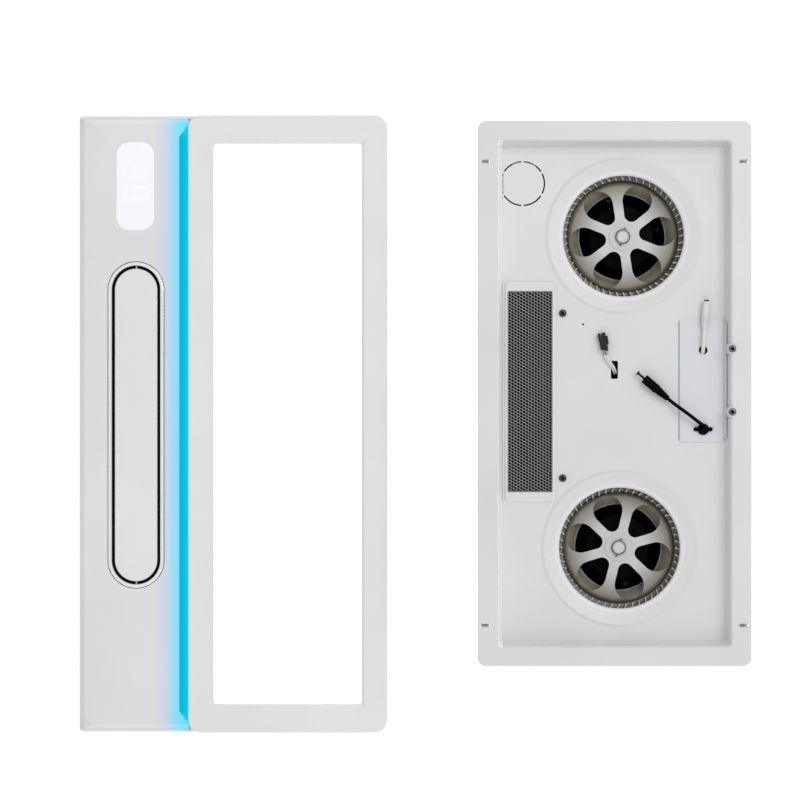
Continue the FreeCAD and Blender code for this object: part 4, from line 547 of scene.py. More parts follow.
def cross_screw(head, rise, shank, length):
    """Pan-head screw along +Z with a cross recess, in millimetres, standing on its shank's end."""
    top = length + rise
    piece = turned([(shank * 0.7, 0), (shank, 1.2), (shank, length), (head, length),
                    (head, length + rise * 0.35), (head * 0.88, length + rise * 0.75), (head * 0.66, top)])
    bpy.ops.mesh.select_mode(type="FACE")
    bpy.ops.mesh.inset(thickness=head * 0.14 * MM)
    ring = head * 0.52 * MM
    for quarter in range(4):
        turn = math.pi / 4 + math.pi / 2 * quarter
        pick(piece, lambda place: place.z > (top - 0.01) * MM and place.xy.length < ring * 1.02
             and Vector((math.cos(turn), math.sin(turn))).dot(place.xy.normalized()) > 0.86, "VERT")
        resize(0.42, 0.42, centre=(0, 0, top * MM))
    pick(piece, lambda place, normal: place.z > (top - 0.01) * MM and place.xy.length < ring * 0.2)
    extrude(0, 0, -rise * 0.7 * MM)
    resize(0.7, 0.7, centre=(0, 0, (top - rise * 0.7) * MM))
    return tidy_shell(piece, 40)


def lead(points, radius, name):
    """Smooth lead whose control points are the route's own points, in millimetres."""
    curve = bpy.data.curves.new(name, "CURVE")
    curve.dimensions = "3D"
    curve.bevel_depth = radius * MM
    curve.bevel_resolution = 5
    curve.resolution_u = 14
    curve.use_fill_caps = True
    spline = curve.splines.new("NURBS")
    spline.points.add(len(points) - 1)
    for point, place in zip(spline.points, points):
        point.co = (*[value * MM for value in place], 1)
    spline.order_u = 3
    spline.use_endpoint_u = True
    made = bpy.data.objects.new(name, curve)
    bpy.context.collection.objects.link(made)
    return made


# Operators

class VENT_OT_stage(bpy.types.Operator):
    """Pale floor, soft light and the camera straight above"""
    bl_idname = "vent.stage"
    bl_label = "Studio stage"

    def execute(self, context):
        settings = context.scene.vent_stage
        scene = context.scene
        scene.view_settings.view_transform = "Standard"
        bench_middle = (-0.2, 0, 0)
        start_fresh()
        bpy.ops.mesh.primitive_plane_add(size=12, location=(bench_middle[0], 0, -0.5 * MM))
        floor = context.object
        floor.name = "studio_floor"
        finish = Finish("studio_floor")
        shade = finish.mix(finish.cloud(finish.place(), 2.0), tone(settings.floor_white, 0.99),
                           tone(settings.floor_white))
        finish.set(Base_Color=shade, Roughness=0.9, Emission_Color=(1, 1, 1, 1), Emission_Strength=0.9)
        floor.data.materials.append(finish.material)

        world = bpy.data.worlds.new("studio")
        scene.world = world
        world.use_nodes = True
        background = world.node_tree.nodes["Background"]
        background.inputs["Color"].default_value = (1.0, 1.0, 1.0, 1)
        background.inputs["Strength"].default_value = 0.62

        lights = (("key", (0.75, 0.75, 2.0), 1.3, 14), ("fill", (0.1, -2.0, 2.2), 2.6, 11))
        for name, place, size, power in lights:
            lamp = bpy.data.lights.new(name, "AREA")
            lamp.shape = "DISK"
            lamp.size = size
            lamp.energy = power
            made = bpy.data.objects.new(name, lamp)
            made.location = place
            towards = Vector(bench_middle) - Vector(place)
            made.rotation_euler = towards.to_track_quat("-Z", "Y").to_euler()
            context.collection.objects.link(made)

        camera = bpy.data.cameras.new("camera")
        camera.sensor_width = 36
        distance = settings.camera_place[2] - settings.view_plane
        camera.lens = camera.sensor_width * distance / settings.view_width
        camera.clip_end = 50
        made = bpy.data.objects.new("camera", camera)
        made.location = settings.camera_place
        context.collection.objects.link(made)
        scene.camera = made
        return {"FINISHED"}


class VENT_OT_leads(bpy.types.Operator):
    """Power lead, white lead and signal wires that lie in the tray, with their plugs"""
    bl_idname = "vent.leads"
    bl_label = "Leads and connectors"

    def execute(self, context):
        settings = context.scene.vent_housing
        rubber = black_plastic("lead_black_rubber", settings.black, 0.04)
        sleeve = moulded_white("lead_white_sleeve", (0.76, 0.76, 0.755), 0.4)

        power_route = ((86.2, -31.6, 122.6), (82.0, -28.3, 126.4), (75.8, -23.6, 129.4), (68.5, -18.1, 129.6),
                       (61.2, -12.7, 127.2), (55.4, -8.4, 124.9), (51.3, -4.9, 124.9))
        plug = self.power_plug(power_route, rubber)
        dress(rubber, "dc_grommet")
        made = lead(power_route, 1.7, "power_lead")
        seat(made, "housing", "black_rubber", rubber, "power_lead", "dc_lead")
        self.declare(made, power_route, length=0.046, diameter=0.0034, end="plug",
                     pieces=[plug, node("dc_plug_barrel")])

        white_route = ((85.0, 40.5, 88.7), (85.0, 40.5, 95.6), (85.6, 40.6, 103.4), (84.9, 38.9, 111.2),
                       (84.8, 38.2, 118.9), (85.1, 42.6, 124.4), (85.6, 50.2, 125.6), (86.0, 57.0, 124.3),
                       (86.4, 62.4, 124.3))
        contact = turned([(1.9, 0), (2.3, 0.3), (2.3, 5.4), (1.7, 5.4), (1.5, 1.2)], 24)
        tidy_shell(contact)
        connector_length = 21.5
        way = (Vector(white_route[-1]) - Vector(white_route[-2])).normalized()
        aim(contact, (Vector(white_route[-1]) + way * connector_length) * MM, way)
        seat(contact, "housing", "black_rubber", rubber, "white_connector_contact")
        made = lead(white_route, 1.9, "white_lead_sleeve")
        seat(made, "housing", "white_lead", sleeve, "white_lead_sleeve", "white_lead")
        self.declare(made, white_route, length=0.0565, diameter=0.0038, end="connector",
                     pieces=[node("white_connector"), contact])

        signal_route = ((2.0, 18.2, 108.6), (1.5, 20.0, 115.6), (-0.6, 25.0, 120.6), (-4.6, 30.6, 122.4),
                        (-7.8, 36.2, 121.6), (-8.4, 40.0, 121.6))
        run = Vector(signal_route[-1]) - Vector(signal_route[-2])
        across = Vector((run.y, -run.x, 0)).normalized()
        crimp_metal = plated_metal("crimp_tin", (0.42, 0.42, 0.41), 0.4)
        plug = self.signal_plug(signal_route[-1], run)
        for side, name in ((-1, "signal_wire_left"), (1, "signal_wire_right")):
            route = [Vector(place) + across * side for place in signal_route]
            made = lead(route, 0.8, name + "_sleeve")
            seat(made, "housing", "white_lead", sleeve, name + "_sleeve", name)
            crimp_length = 3.5
            crimp = turned([(0.86, 0), (1.05, 0.3), (1.05, 1.6), (0.9, 1.9), (1.05, 2.2),
                            (1.05, crimp_length)], 16)
            tidy_shell(crimp)
            aim(crimp, (route[-1] - run.normalized() * crimp_length) * MM, run)
            seat(crimp, "housing", "zinc", crimp_metal, name + "_crimp")
            pieces = [crimp, plug] if side < 0 else [crimp]
            self.declare(made, route, length=0.0312, diameter=0.0016, end="connector", pieces=pieces)
        return {"FINISHED"}

    def declare(self, piece, route, length, diameter, end, pieces):
        tuple(value * MM for value in route[0])

    def signal_plug(self, place, way):
        """Flat latch plug: slanted back end, side tab, two prongs with a gap and a raised latch plate."""
        bars = ((-3.2, 3.8, 0.0, 13.2, -3.1, 2.4), (-4.6, -3.0, 6.4, 14.6, -3.1, 1.4),
                (-2.9, 0.5, 13.0, 18.1, -3.1, 1.9), (2.1, 4.2, 10.6, 18.0, -3.1, 2.2),
                (0.2, 3.5, 1.8, 14.4, 2.2, 3.4))
        pieces = []
        for low_x, high_x, low_z, high_z, low_y, high_y in bars:
            bar = begin("cube", size=1)
            resize((high_x - low_x) * MM, (high_y - low_y) * MM, (high_z - low_z) * MM)
            move((low_x + high_x) / 2 * MM, (low_y + high_y) / 2 * MM, (low_z + high_z) / 2 * MM)
            if low_z == 0.0:
                pick(bar, lambda spot: spot.z < 1 * MM and spot.x > 0, "VERT")
                move(0, 0, 2.6 * MM)
            bpy.ops.mesh.select_all(action="SELECT")
            bpy.ops.mesh.bevel(offset=0.35 * MM, segments=2, affect="EDGES")
            pieces.append(tidy_shell(bar))
        plug = join(pieces)
        aim(plug, Vector(place) * MM, way)
        finish = black_plastic("signal_plug_black", (0.016, 0.016, 0.016))
        return seat(plug, "housing", "black_plastic", finish, "signal_plug", "signal_connector")

    def power_plug(self, route, finish):
        """Moulded plug with a ribbed strain relief and a grooved grip."""
        profile = [(2.5, 0), (2.95, 0.4)]
        for rib in range(6):
            low, wide = 0.9 + 1.9 * rib, 2.95 + 0.2 * rib
            profile += [(wide, low), (wide, low + 0.9), (wide - 0.35, low + 1.1), (wide - 0.35, low + 1.7)]
        profile += [(4.2, 13.4), (4.45, 14.6)]
        for groove in range(3):
            low = 17.0 + 2.6 * groove
            profile += [(4.45, low), (4.15, low + 0.3), (4.15, low + 0.9), (4.45, low + 1.2)]
        profile += [(4.45, 28.8), (3.95, 29.6)]
        plug = turned(profile, 32)
        tidy_shell(plug, 30)
        aim(plug, Vector(route[-1]) * MM, Vector(route[-1]) - Vector(route[-2]))
        return seat(plug, "housing", "black_rubber", finish, "power_plug", "dc_plug")


class VENT_OT_housing(bpy.types.Operator):
    """Finishes of the tray, casing, collar and brackets, and the knock-out's score"""
    bl_idname = "vent.housing"
    bl_label = "Housing finishes"

    def execute(self, context):
        settings = context.scene.vent_housing
        low, high = corners("tray")
        rim_width, tray_depth = 24 * MM, 22 * MM
        wall_foot = Vector((low.x + rim_width, 0, high.z - tray_depth))
        white = moulded_white("collar_white", settings.tray_white)
        dress(white, "duct_collar", "damper_flap_left", "damper_flap_right")
        dress(self.tray_white_painted_light(settings, wall_foot, tray_depth), "tray")
        dress(self.cover_white(), "control_cover")
        dress(self.casing_sheet(), "rear_casing")
        zinc = plated_metal("zinc_plate", (0.62, 0.62, 0.61))
        dress(zinc, "mounting_brackets", "damper_pin")
        dress(self.screw_zinc(), "housing_screws")
        dress(plated_metal("clip_zinc", (0.88, 0.88, 0.86), 0.55, metallic=0.3), "spring_clips")
        black = black_plastic("scroll_black", settings.black, 0.05)
        dress(black, "exhaust_scroll", "heater_scroll", "heater_duct", "heater_frame", "cable_gland",
              "control_box", "board_components", "exhaust_motor", "heater_motor", "motor_plates",
              "wire_holder")
        dress(plated_metal("barrel_dark", (0.02, 0.02, 0.02), 0.4), "dc_plug_barrel")
        dress(moulded_white("connector_white", (0.72, 0.72, 0.715)), "white_connector", "terminal_block")
        # Painted shadow: the heater elements behind the mesh are made near black.
        dress(plated_metal("heater_fin_painted_shadow", (0.015, 0.015, 0.015), 0.5), "heater_elements")
        dress(black_plastic("board_green", (0.02, 0.10, 0.04)), "control_board")
        knockout_y = high.y - 58.6 * MM
        self.knockout_score(wall_foot, knockout_y)
        return {"FINISHED"}

    def tray_white_painted_light(self, settings, wall_foot, depth):
        """Tray white with painted light: a painted highlight on the inlets' lips and on the wall behind the
        mesh, painted shadow at that wall's foot, and painted shade round the outer rim of each dish.
        """
        finish = moulded_white("tray_white", settings.tray_white)
        x, y, z = finish.axes((wall_foot.x, middle("outlet_grille").y, wall_foot.z))
        # Painted highlight on the wall behind the mesh, the wall that faces the light.
        wall = (x < -0.1 * MM) * (x > -5.0 * MM) * (z > 0.2 * MM) * (z < depth - 0.4 * MM)
        # Painted shadow along that wall's foot, where it meets the mesh's pad.
        foot = finish.fade(z, 3.0 * MM, 6.0 * MM) * finish.fade(abs(y), 100 * MM, 110 * MM)
        wall_highlight_and_foot_shadow = finish.mix(foot, tone(settings.tray_white, 1.32), tone(settings.tray_white, 0.62))
        shade = finish.mix(wall, finish.plain(), wall_highlight_and_foot_shadow)
        lip_radius, dish_radius = 58.5 * MM, 74.0 * MM
        for fan in ("exhaust", "heater"):
            hub = middle(fan + "_blades")
            x = finish.axes(hub)[0]
            reach = finish.reach(hub)
            # Painted highlight on each inlet's lip.
            lip = finish.fade(reach, lip_radius, lip_radius + 4.0 * MM)
            # Painted shade along the outer rim of each dish, strongest on its left side.
            edge = finish.span(reach, dish_radius - 2.5 * MM, dish_radius - 0.5 * MM)
            edge = edge * finish.fade(reach, dish_radius, dish_radius + 2.5 * MM)
            edge = edge * finish.span(x, -20 * MM, 20 * MM, 1.0, 0.25)
            shade = finish.mix(lip, shade, tone(settings.tray_white, 1.28))
            shade = finish.mix(edge, shade, tone(settings.tray_white, 0.88))
        return finish.set(Base_Color=shade)

    def knockout_score(self, wall_foot, middle_y):
        """Side of the knock-out's score line that runs along the foot of the tray's wall."""
        bow, sagitta = 80 * MM, 0.55 * MM
        line_width, line_height = 0.75 * MM, 0.12 * MM
        arc = flat_ring(bow, line_width, line_height, wall_foot.z)
        take(arc)
        bpy.ops.object.mode_set(mode="EDIT")
        cut_off((sagitta - bow, 0, 0), (1, 0, 0))
        bpy.ops.object.mode_set(mode="OBJECT")
        arc.location.x, arc.location.y = wall_foot.x + bow, middle_y
        finish = black_plastic("score_grey", (0.06, 0.06, 0.06))
        seat(arc, "housing", "black_plastic", finish, "knockout_score")

    def cover_white(self):
        """Bluish white cover with painted shade along its left edge and along the fold beside the tray's
        wall.
        """
        finish = moulded_white("cover_white", (0.705, 0.72, 0.75), 0.36)
        x = finish.axes(corners("control_cover")[0])[0]
        # Painted shade: a dark line at the left side and a darker band at the fold.
        edges = finish.ramp(finish.span(x, 0.0, 60 * MM), greys(
            (0.0, 0.5), (0.012, 0.55), (0.018, 1), (0.70, 1), (0.73, 0.84), (0.765, 0.82), (0.785, 1)))
        return finish.set(Base_Color=finish.stain(finish.plain(), edges))

    def casing_sheet(self):
        """Galvanised sheet outside; the floor inside is made black as painted shadow."""
        finish = Finish("casing_sheet")
        place = finish.place()
        x, z = finish.axes()[::2]
        # Painted shadow: the floor inside the casing is made black.
        inside = (z > 0.6 * MM) * (z < 1.6 * MM) * (abs(x) < 104 * MM)
        spangle = finish.add("ShaderNodeTexVoronoi", {}, {"Vector": place, "Scale": 210.0}, "Color")
        frost = finish.noise(place, 700.0)
        sheet = finish.mix(finish.span(spangle, 0.2, 0.8), (0.46, 0.47, 0.485, 1), (0.54, 0.55, 0.565, 1))
        gloss = finish.span(spangle + 0.4 * frost, 0.4, 1.0, 0.34, 0.5)
        shade = finish.mix(inside, sheet, (0.01, 0.01, 0.01, 1))
        return finish.set(Base_Color=shade, Roughness=gloss, Metallic=0.85)

    def screw_zinc(self):
        """Zinc screws, made black as painted shade where they sit deep behind the blower wheels."""
        finish = plated_metal("screw_zinc", (0.62, 0.62, 0.61))
        y, z = finish.axes()[1:]
        # Painted shade on the screws that sit low down behind the wheels.
        deep = (z < 17 * MM) * (y < 200 * MM)
        return finish.set(Base_Color=finish.mix(deep, finish.plain(), (0.07, 0.07, 0.068, 1)))


class VENT_OT_grille(bpy.types.Operator):
    """Fine punched mesh over the warm-air outlet"""
    bl_idname = "vent.grille"
    bl_label = "Warm-air mesh"

    def execute(self, context):
        settings = context.scene.vent_housing
        low, high = corners("outlet_grille")
        size = high - low
        centre = (low + high) / 2
        sheet = size.z * 0.8
        pitch, rise = settings.mesh_pitch, settings.mesh_rise
        radius = pitch / 1.5
        hole_stretch, hole_squeeze = 1.16, 0.88
        weld, border_width = 0.05 * MM, 0.9 * MM
        mesh = begin("circle", vertices=6, radius=radius, fill_type="NGON")
        rotate(math.radians(30))
        resize(1, rise / (radius * math.sqrt(3)))
        bpy.ops.mesh.select_mode(type="FACE")
        bpy.ops.mesh.inset(thickness=settings.mesh_strand)
        rotate(-settings.mesh_slant)
        resize(hole_stretch, hole_squeeze)
        rotate(settings.mesh_slant)
        bpy.ops.mesh.delete(type="FACE")
        take_all()
        bpy.ops.mesh.duplicate_move(TRANSFORM_OT_translate={"value": (pitch, rise / 2, 0)})
        bpy.ops.object.mode_set(mode="OBJECT")
        columns = int(size.x / pitch / 2) + 3
        rows = int(size.y / rise) + 3
        for count, step in ((columns, (2 * pitch, 0, 0)), (rows, (0, rise, 0))):
            apply_modifier(mesh, "ARRAY", count=count, use_relative_offset=False, use_constant_offset=True,
                           constant_offset_displace=step, use_merge_vertices=True, merge_threshold=weld)
        mesh.location = (centre.x - (columns - 1) * pitch, centre.y - (rows - 1) * rise / 2, high.z)
        take(mesh)
        settle()
        bpy.ops.object.mode_set(mode="EDIT")
        take_all()
        bpy.ops.mesh.remove_doubles(threshold=weld)
        for corner, way in ((high, (1, 0, 0)), (high, (0, 1, 0)), (low, (-1, 0, 0)), (low, (0, -1, 0))):
            cut_off(corner, way)
        bpy.ops.object.mode_set(mode="OBJECT")
        apply_modifier(mesh, "SOLIDIFY", thickness=sheet, offset=-1)
        border = begin("plane", size=1)
        resize(size.x, size.y)
        hollow(border_width, -sheet)
        tidy_shell(border)
        border.location = (centre.x, centre.y, high.z - 0.05 * MM)
        piece = join([mesh, border])
        finish = plated_metal("mesh_grey", settings.mesh_grey, 0.45, 500.0, 0.2)
        seat(piece, "housing", "dark_screw", finish, "warm_air_mesh", "outlet_grille")
        return {"FINISHED"}


class VENT_OT_screws(bpy.types.Operator):
    """Screws seen in the tray: two dark ones at the mesh and two grey ones at the cover"""
    bl_idname = "vent.screws"
    bl_label = "Tray screws"

    def execute(self, context):
        sets = (("grille_screws", "dark_screw", "screw_blacked", (0.075, 0.075, 0.075), 1.5 * MM),
                ("cover_screws", "zinc", "screw_grey", (0.22, 0.22, 0.20), 1.9 * MM))
        for name, slot, metal, colour, recess in sets:
            low, high = corners(name)
            head = (high.x - low.x) / 2 / MM
            depth = (high.z - low.z) / MM
            rise, shank = 2.2, 1.6
            first = cross_screw(head, rise, shank, depth - rise)
            centre = (low + high) / 2
            reach = (high.y - low.y) / 2 - head * MM
            first.location = (centre.x, centre.y - reach, low.z)
            second = twin(first, (centre.x, centre.y + reach, low.z), 0.6)
            places = [(centre.x, centre.y + side * reach, 0) for side in (-1, 1)]
            finish = self.screw_metal(metal, colour, places, recess)
            piece = join([first, second])
            seat(piece, "housing", slot, finish, name + "_headed", name)
        return {"FINISHED"}

    def screw_metal(self, name, colour, places, recess):
        """Plated head with painted shade, near black, in its cross recess."""
        finish = plated_metal(name, colour, 0.42)
        near = 1.0
        for place in places:
            near = finish.reach(place).maths("MINIMUM", near)
        # Painted shade fills the cross recess.
        clear_of_recess_shade = finish.span(near, recess * 0.7, recess * 1.1)
        return finish.set(Base_Color=finish.mix(clear_of_recess_shade, (0.002, 0.002, 0.002, 1), finish.plain()))


class VENT_OT_blowers(bpy.types.Operator):
    """Blower wheels with bare hub plates, twisted blades, an inner drum and a snap ring round each cap"""
    bl_idname = "vent.blowers"
    bl_label = "Blower wheels"

    def execute(self, context):
        settings = context.scene.vent_housing
        cap_metal = plated_metal("hub_cap_metal", (0.62, 0.62, 0.605), 0.45, 900.0, 0.2)
        dress(cap_metal, "exhaust_shaft", "heater_shaft")
        ring_steel = plated_metal("snap_ring_steel", (0.13, 0.13, 0.125), 0.4)
        drum_steel = plated_metal("drum_steel", settings.wheel_drum, 0.5, 120.0, 0.1)
        drum_gap, drum_drop, ring_drop = 1.3 * MM, 3.4 * MM, 1.1 * MM
        for fan, side in (("exhaust", 1), ("heater", -1)):
            body = fan + "_rotor"
            low, high = corners(fan + "_blades")
            centre = (low + high) / 2
            outer = (high.x - low.x) / 2
            dress(self.wheel_metal(fan, centre, settings), fan + "_wheel")
            blades = self.blade_ring(settings, side, outer, high.z - low.z)
            blades.location = (centre.x, centre.y, low.z)
            seat(blades, body, "impeller", self.blade_metal(fan, centre, low.z, high.z, settings),
                 fan + "_blade_ring", fan + "_blades")
            drum = self.drum(outer - settings.blade_reach - drum_gap, settings)
            drum.location = (centre.x, centre.y, corners(fan + "_wheel")[1].z - drum_drop)
            seat(drum, body, "impeller", drum_steel, fan + "_inner_drum")
            ring = self.snap_ring()
            ring.location = (centre.x, centre.y, corners(fan + "_shaft")[1].z - ring_drop)
            seat(ring, body, "dark_screw", ring_steel, fan + "_snap_ring")
        return {"FINISHED"}

    def drum(self, radius, settings):
        """Thin cone under the hub plate, narrowing as it goes down, with a lip turned in at its foot."""
        piece = begin("circle", vertices=64, radius=radius)
        take_all("EDGE")
        width, level = radius, 0.0
        for taper, depth in ((0.35, 0.3), (0.7, 0.65), (1.0, 1.0), (1.12, 1.02)):
            next_width, next_level = radius - settings.drum_taper * taper, -settings.drum_depth * depth
            extrude(0, 0, next_level - level)
            resize(next_width / width, next_width / width, centre=(0, 0, next_level))
            width, level = next_width, next_level
        return thicken(piece, 0.6 * MM)

    def wheel_metal(self, fan, centre, settings):
        """Bare sheet: fine speckle, faint turning marks, and painted shade that darkens it from the pale hub
        out to the rim, which also has a warm tint of its own.
        """
        finish = Finish(fan + "_wheel_metal")
        reach = finish.reach(centre)
        speckle = finish.noise(finish.place((centre.x, centre.y, 0)), 1100.0, 2.0)
        marks = finish.add("ShaderNodeTexNoise", {"noise_dimensions": "1D"},
                           {"W": reach * 2500.0, "Detail": 2.0})
        # Painted shade: the plate darkens from the hub out to the rim.
        hub_to_rim_shade = finish.mix(finish.span(reach, 24 * MM, 50 * MM), tone(settings.wheel_plate),
                            tone(settings.wheel_rim_shaded))
        fine = finish.span(speckle + 0.5 * marks, 0.5, 1.0, 0.90, 1.06)
        return finish.set(Base_Color=finish.stain(hub_to_rim_shade, fine), Metallic=0.25,
                          Roughness=finish.span(speckle, 0.3, 0.7, 0.36, 0.52),
                          Normal=finish.bump(speckle, 0.25, 0.12 * MM))

    def blade_metal(self, fan, centre, low, high, settings):
        """Same sheet on the blades, darker towards the foot as painted shade."""
        finish = Finish(fan + "_blade_metal")
        z = finish.axes()[2]
        speckle = finish.noise(finish.place((centre.x, centre.y, 0)), 500.0)
        # Painted shade: the blades darken from their tips down to their foot.
        depth = finish.span(z, low + (high - low) * 0.35, high)
        shade = finish.mix(depth, tone(settings.wheel_blade, 0.30), tone(settings.wheel_blade, 1.25))
        worn = finish.mix(finish.span(speckle, 0.35, 0.65), (0.86, 0.86, 0.86, 1), (1, 1, 1, 1))
        return finish.set(Base_Color=finish.stain(shade, worn), Metallic=0.2,
                          Roughness=finish.span(speckle, 0.3, 0.7, 0.38, 0.55))

    def blade_ring(self, settings, side, outer, height):
        """One forward-curved blade, bent and twisted, copied round the wheel, with its two rings."""
        inner = outer - settings.blade_reach
        lean, hollow_back = 3.4, 3.0
        blade = begin("grid", x_subdivisions=4, y_subdivisions=3, size=1)
        resize(outer - inner, height)
        rotate(math.pi / 2, "X")
        move((inner + outer) / 2, 0, height / 2)
        for column in range(5):
            share = column / 4
            radius = inner + (outer - inner) * share
            bend = side * math.radians(lean * share - hollow_back * share * (1 - share))
            pick(blade, lambda place: abs(place.xy.length - radius) < 0.3 * MM, "VERT")
            rotate(-bend)
        for row in range(3):
            level = height * row / 3
            pick(blade, lambda place: abs(place.z - level) < 1 * MM, "VERT")
            rotate(side * settings.blade_twist * (1 - row / 3))
        thicken(blade, 0.7 * MM)
        step = 2 * math.pi / settings.blade_count
        copies = [twin(blade, (0, 0, 0), step * number) for number in range(1, settings.blade_count)]
        band_width, band_height, tie_height, inset = 1.6 * MM, 3.2 * MM, 0.8 * MM, 0.2 * MM
        band = flat_ring(outer, band_width, band_height, height - band_height)
        tie_width = settings.blade_reach - 2 * inset
        tie = flat_ring(outer - inset, tie_width, tie_height, height - settings.tie_depth)
        return join([blade] + copies + [band, tie])

    def snap_ring(self):
        """Round spring wire with two nibs, clipped round the cap nut."""
        ring = begin("torus", major_radius=6.55 * MM, minor_radius=0.5 * MM, major_segments=48,
                     minor_segments=8)
        for turn in (math.radians(74), math.radians(254)):
            way = Vector((math.cos(turn), math.sin(turn), 0))
            pick(ring, lambda place, normal: place.xy.normalized().dot(way.xy) > 0.985
                 and normal.dot(way) > 0.5)
            for step in (1.1 * MM, 0.9 * MM):
                extrude(*(way * step))
        return tidy_shell(ring, 60)


class VENT_OT_panel(bpy.types.Operator):
    """Side plate, lamp frame, diffuser, light strip and air outlet"""
    bl_idname = "vent.panel"
    bl_label = "Face panel"

    def execute(self, context):
        settings = context.scene.vent_panel
        black = context.scene.vent_housing.black
        white = moulded_white("panel_white", settings.plate_white, 0.38)
        dress(white, "panel_base", "outlet_flap")
        dress(self.frame_white(settings), "lamp_frame")
        dress(self.glowing_plate(settings), "side_plate")
        dress(self.strip_finish(settings), "light_strip")
        dress(self.lamp_finish(settings), "lamp_diffuser", "lamp_light_bars", "lamp_reflector")
        lens = moulded_white("display_lens", (0.88, 0.88, 0.93), 0.15)
        dress(lens.set(Emission_Color=(0.95, 0.95, 1, 1), Emission_Strength=0.17), "display_lens")
        dress(chrome_painted_glow("trim_chrome"), "outlet_trim")
        dress(plated_metal("panel_zinc", (0.62, 0.62, 0.61)), "flap_pins", "panel_hooks", "panel_screws")
        dress(black_plastic("throat_black", black), "outlet_throat", "flap_motor", "panel_sockets")
        dress(black_plastic("panel_board_green", (0.02, 0.10, 0.04)), "display_board", "strip_light_board")
        return {"FINISHED"}

    def frame_white(self, settings):
        """Lacquered frame with a painted shade line along the diffuser's far side."""
        finish = moulded_white("frame_white", settings.plate_white, 0.38)
        low, high = corners("lamp_frame")
        border, slack = 25.0 * MM, 0.5 * MM
        x, y = finish.axes((high.x - border, (low.y + high.y) / 2, 0))[:2]
        # Painted shade along the inner wall on the frame's right side.
        line = finish.span(x, 0.0, 0.4 * MM) * finish.fade(x, 2.4 * MM, 3.2 * MM)
        line = line * (abs(y) < (high.y - low.y) / 2 - border - slack)
        return finish.set(Base_Color=finish.mix(line, finish.plain(), tone(settings.plate_white, 0.88)))

    def glowing_plate(self, settings):
        """White lacquer with the strip's light painted on as a glow, blue at the strip and violet further
        out, and with painted shade and a painted highlight along its left bevel.
        """
        finish = moulded_white("plate_white", settings.plate_white, 0.34)
        x = finish.axes(corners("light_strip")[0])[0]
        # Painted glow: the strip's light is painted into the plate's colour and emission.
        away = finish.span(-1.0 * x, 0.0, settings.glow_reach)
        tint = finish.ramp(away, ((0.0, (0.13, 0.66, 0.88)), (0.24, (0.40, 0.80, 0.98)),
                                  (0.48, (0.78, 0.88, 1.0)), (0.72, (0.93, 0.95, 1.0)), (1.0, (1, 1, 1))))
        lit = finish.ramp(away, ((0.0, (0.08, 0.30, 0.40)), (0.24, (0.04, 0.13, 0.19)),
                                 (0.48, (0.02, 0.04, 0.10)), (0.72, (0.01, 0.0, 0.04)), (1.0, (0, 0, 0))))
        # Painted shade on the left bevel, with a painted highlight line beside it.
        x = finish.axes(corners("side_plate")[0])[0]
        edge = finish.ramp(finish.span(x, 0.0, 10 * MM), greys(
            (0.0, 0.86), (0.50, 0.88), (0.56, 1), (0.64, 0.98), (0.70, 0.96), (1.0, 0.97)))
        shade = finish.stain(finish.stain(finish.plain(), tint), edge)
        return finish.set(Base_Color=shade, Emission_Color=lit, Emission_Strength=1.0)

    def strip_finish(self, settings):
        """Lit bar: deeper blue at the plate, brighter towards the lamp frame and at its slanted ends."""
        finish = Finish("strip_light")
        low, high = corners("light_strip")
        half = (high - low) / 2
        x, y = finish.axes(low + half)[:2]
        across = finish.mix(finish.span(x, -half.x, half.x), tone(settings.strip_deep),
                            tone(settings.strip_bright))
        end = finish.span(abs(y), half.y - 12 * MM, half.y)
        colour = finish.mix(end, across, (0.015, 0.74, 0.80, 1))
        shade = finish.mix(finish.cloud(finish.place(), 14.0), (0.0, 0.03, 0.05, 1), (0.0, 0.05, 0.07, 1))
        return finish.set(Base_Color=shade, Roughness=0.4, Specular_IOR_Level=0.0, Emission_Color=colour,
                          Emission_Strength=settings.strip_light)

    def lamp_finish(self, settings):
        """Opal sheet lit from behind, with a faint cloud."""
        finish = Finish("lamp_opal")
        place = finish.place()
        shade = finish.mix(finish.cloud(place, 3.0), (0.96, 0.96, 0.96, 1), (1, 1, 1, 1))
        gloss = finish.cloud(place, 900.0, 0.42, 0.6)
        return finish.set(Base_Color=shade, Roughness=gloss, Emission_Color=(1, 1, 1, 1),
                          Emission_Strength=settings.lamp_light)


class VENT_OT_outlet(bpy.types.Operator):
    """Dark seam round the bright outlet trim"""
    bl_idname = "vent.outlet"
    bl_label = "Outlet seam"

    def execute(self, context):
        low, high = corners("outlet_trim")
        size = high - low
        centre = (low + high) / 2
        gap = 0.65 * MM
        seam = oblong_ring(size.x + 2 * gap, size.y + 2 * gap, gap, 0.25 * MM)
        seam.location = (centre.x, centre.y, low.z)
        finish = black_plastic("seam_grey", (0.05, 0.05, 0.05))
        seat(seam, "panel", "black_plastic", finish, "outlet_seam")
        return {"FINISHED"}


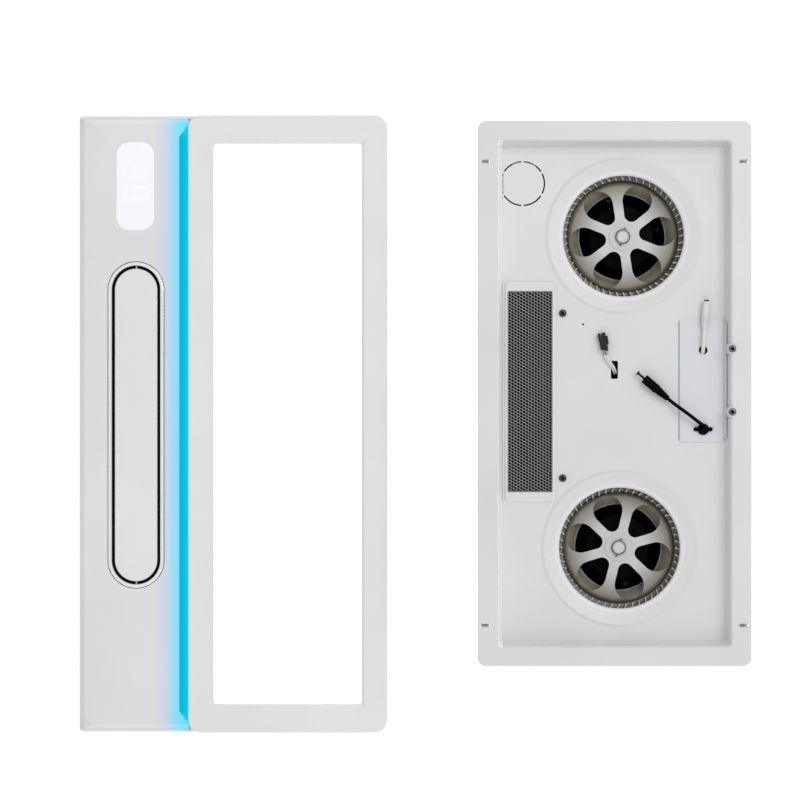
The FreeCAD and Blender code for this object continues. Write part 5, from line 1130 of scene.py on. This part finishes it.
class VENT_OT_digits(bpy.types.Operator):
    """Two sideways digits that shine faintly through the display window"""
    bl_idname = "vent.digits"
    bl_label = "Display digits"

    def execute(self, context):
        settings = context.scene.vent_panel
        low, high = corners("display_lens")
        centre = (low + high) / 2
        length, width, stroke = settings.digit_length, settings.digit_width, settings.digit_stroke
        bar = begin("plane", size=1)
        resize(length / 2 - stroke * 0.7, stroke)
        bpy.ops.mesh.bevel(offset=stroke * 0.42, affect="VERTICES", segments=1)
        take_all()
        extrude(0, 0, 0.12 * MM)
        tidy_shell(bar)
        short = (width - stroke * 0.4) / (length / 2)
        places = {"a": (-1, 0), "b": (-0.5, -1), "c": (0.5, -1), "d": (1, 0), "e": (0.5, 1),
                  "f": (-0.5, 1), "g": (0, 0)}
        marks = []
        for offset, lit in ((15.4 * MM, "abcdg"), (-6.8 * MM, "abcdefg")):
            for name in lit:
                along, aside = places[name]
                upright = name in "agd"
                place = (centre.x + along * (length - stroke) / 2,
                         centre.y + offset + aside * (width - stroke) / 2, high.z)
                mark = twin(bar, place, math.pi / 2 if upright else 0.0)
                if upright:
                    mark.scale = (short, 1, 1)
                marks.append(mark)
        drop(bar)
        finish = moulded_white("digit_white", (0.90, 0.91, 0.96), 0.2)
        finish.set(Emission_Color=(0.96, 0.97, 1, 1), Emission_Strength=0.19)
        seat(join(marks), "panel", "lens", finish, "display_digits")
        return {"FINISHED"}


class VENT_PT_sidebar(bpy.types.Panel):
    """Lists the unit's pieces and settings"""
    bl_label = "Ventilation unit"
    bl_idname = "VENT_PT_sidebar"
    bl_space_type = "VIEW_3D"
    bl_region_type = "UI"
    bl_category = "Ventilation"

    def draw(self, context):
        for operator in OPERATORS:
            self.layout.operator(operator.bl_idname)
        for name in ("vent_housing", "vent_panel", "vent_stage"):
            settings = getattr(context.scene, name)
            for prop in settings.bl_rna.properties:
                if prop.identifier not in ("rna_type", "name"):
                    self.layout.prop(settings, prop.identifier)


OPERATORS = (VENT_OT_stage, VENT_OT_leads, VENT_OT_housing, VENT_OT_grille, VENT_OT_screws, VENT_OT_blowers,
             VENT_OT_panel, VENT_OT_outlet, VENT_OT_digits)
SETTINGS = (HousingSettings, PanelSettings, StageSettings)
CLASSES = SETTINGS + OPERATORS + (VENT_PT_sidebar,)


def register():
    for made in CLASSES:
        bpy.utils.register_class(made)
    bpy.types.Scene.vent_housing = bpy.props.PointerProperty(type=HousingSettings)
    bpy.types.Scene.vent_panel = bpy.props.PointerProperty(type=PanelSettings)
    bpy.types.Scene.vent_stage = bpy.props.PointerProperty(type=StageSettings)


def unregister():
    for name in ("vent_housing", "vent_panel", "vent_stage"):
        delattr(bpy.types.Scene, name)
    for made in reversed(CLASSES):
        bpy.utils.unregister_class(made)


def main():
    register()
    for operator in OPERATORS:
        group, name = operator.bl_idname.split(".")
        getattr(getattr(bpy.ops, group), name)()


if __name__ == "__main__":
    main()
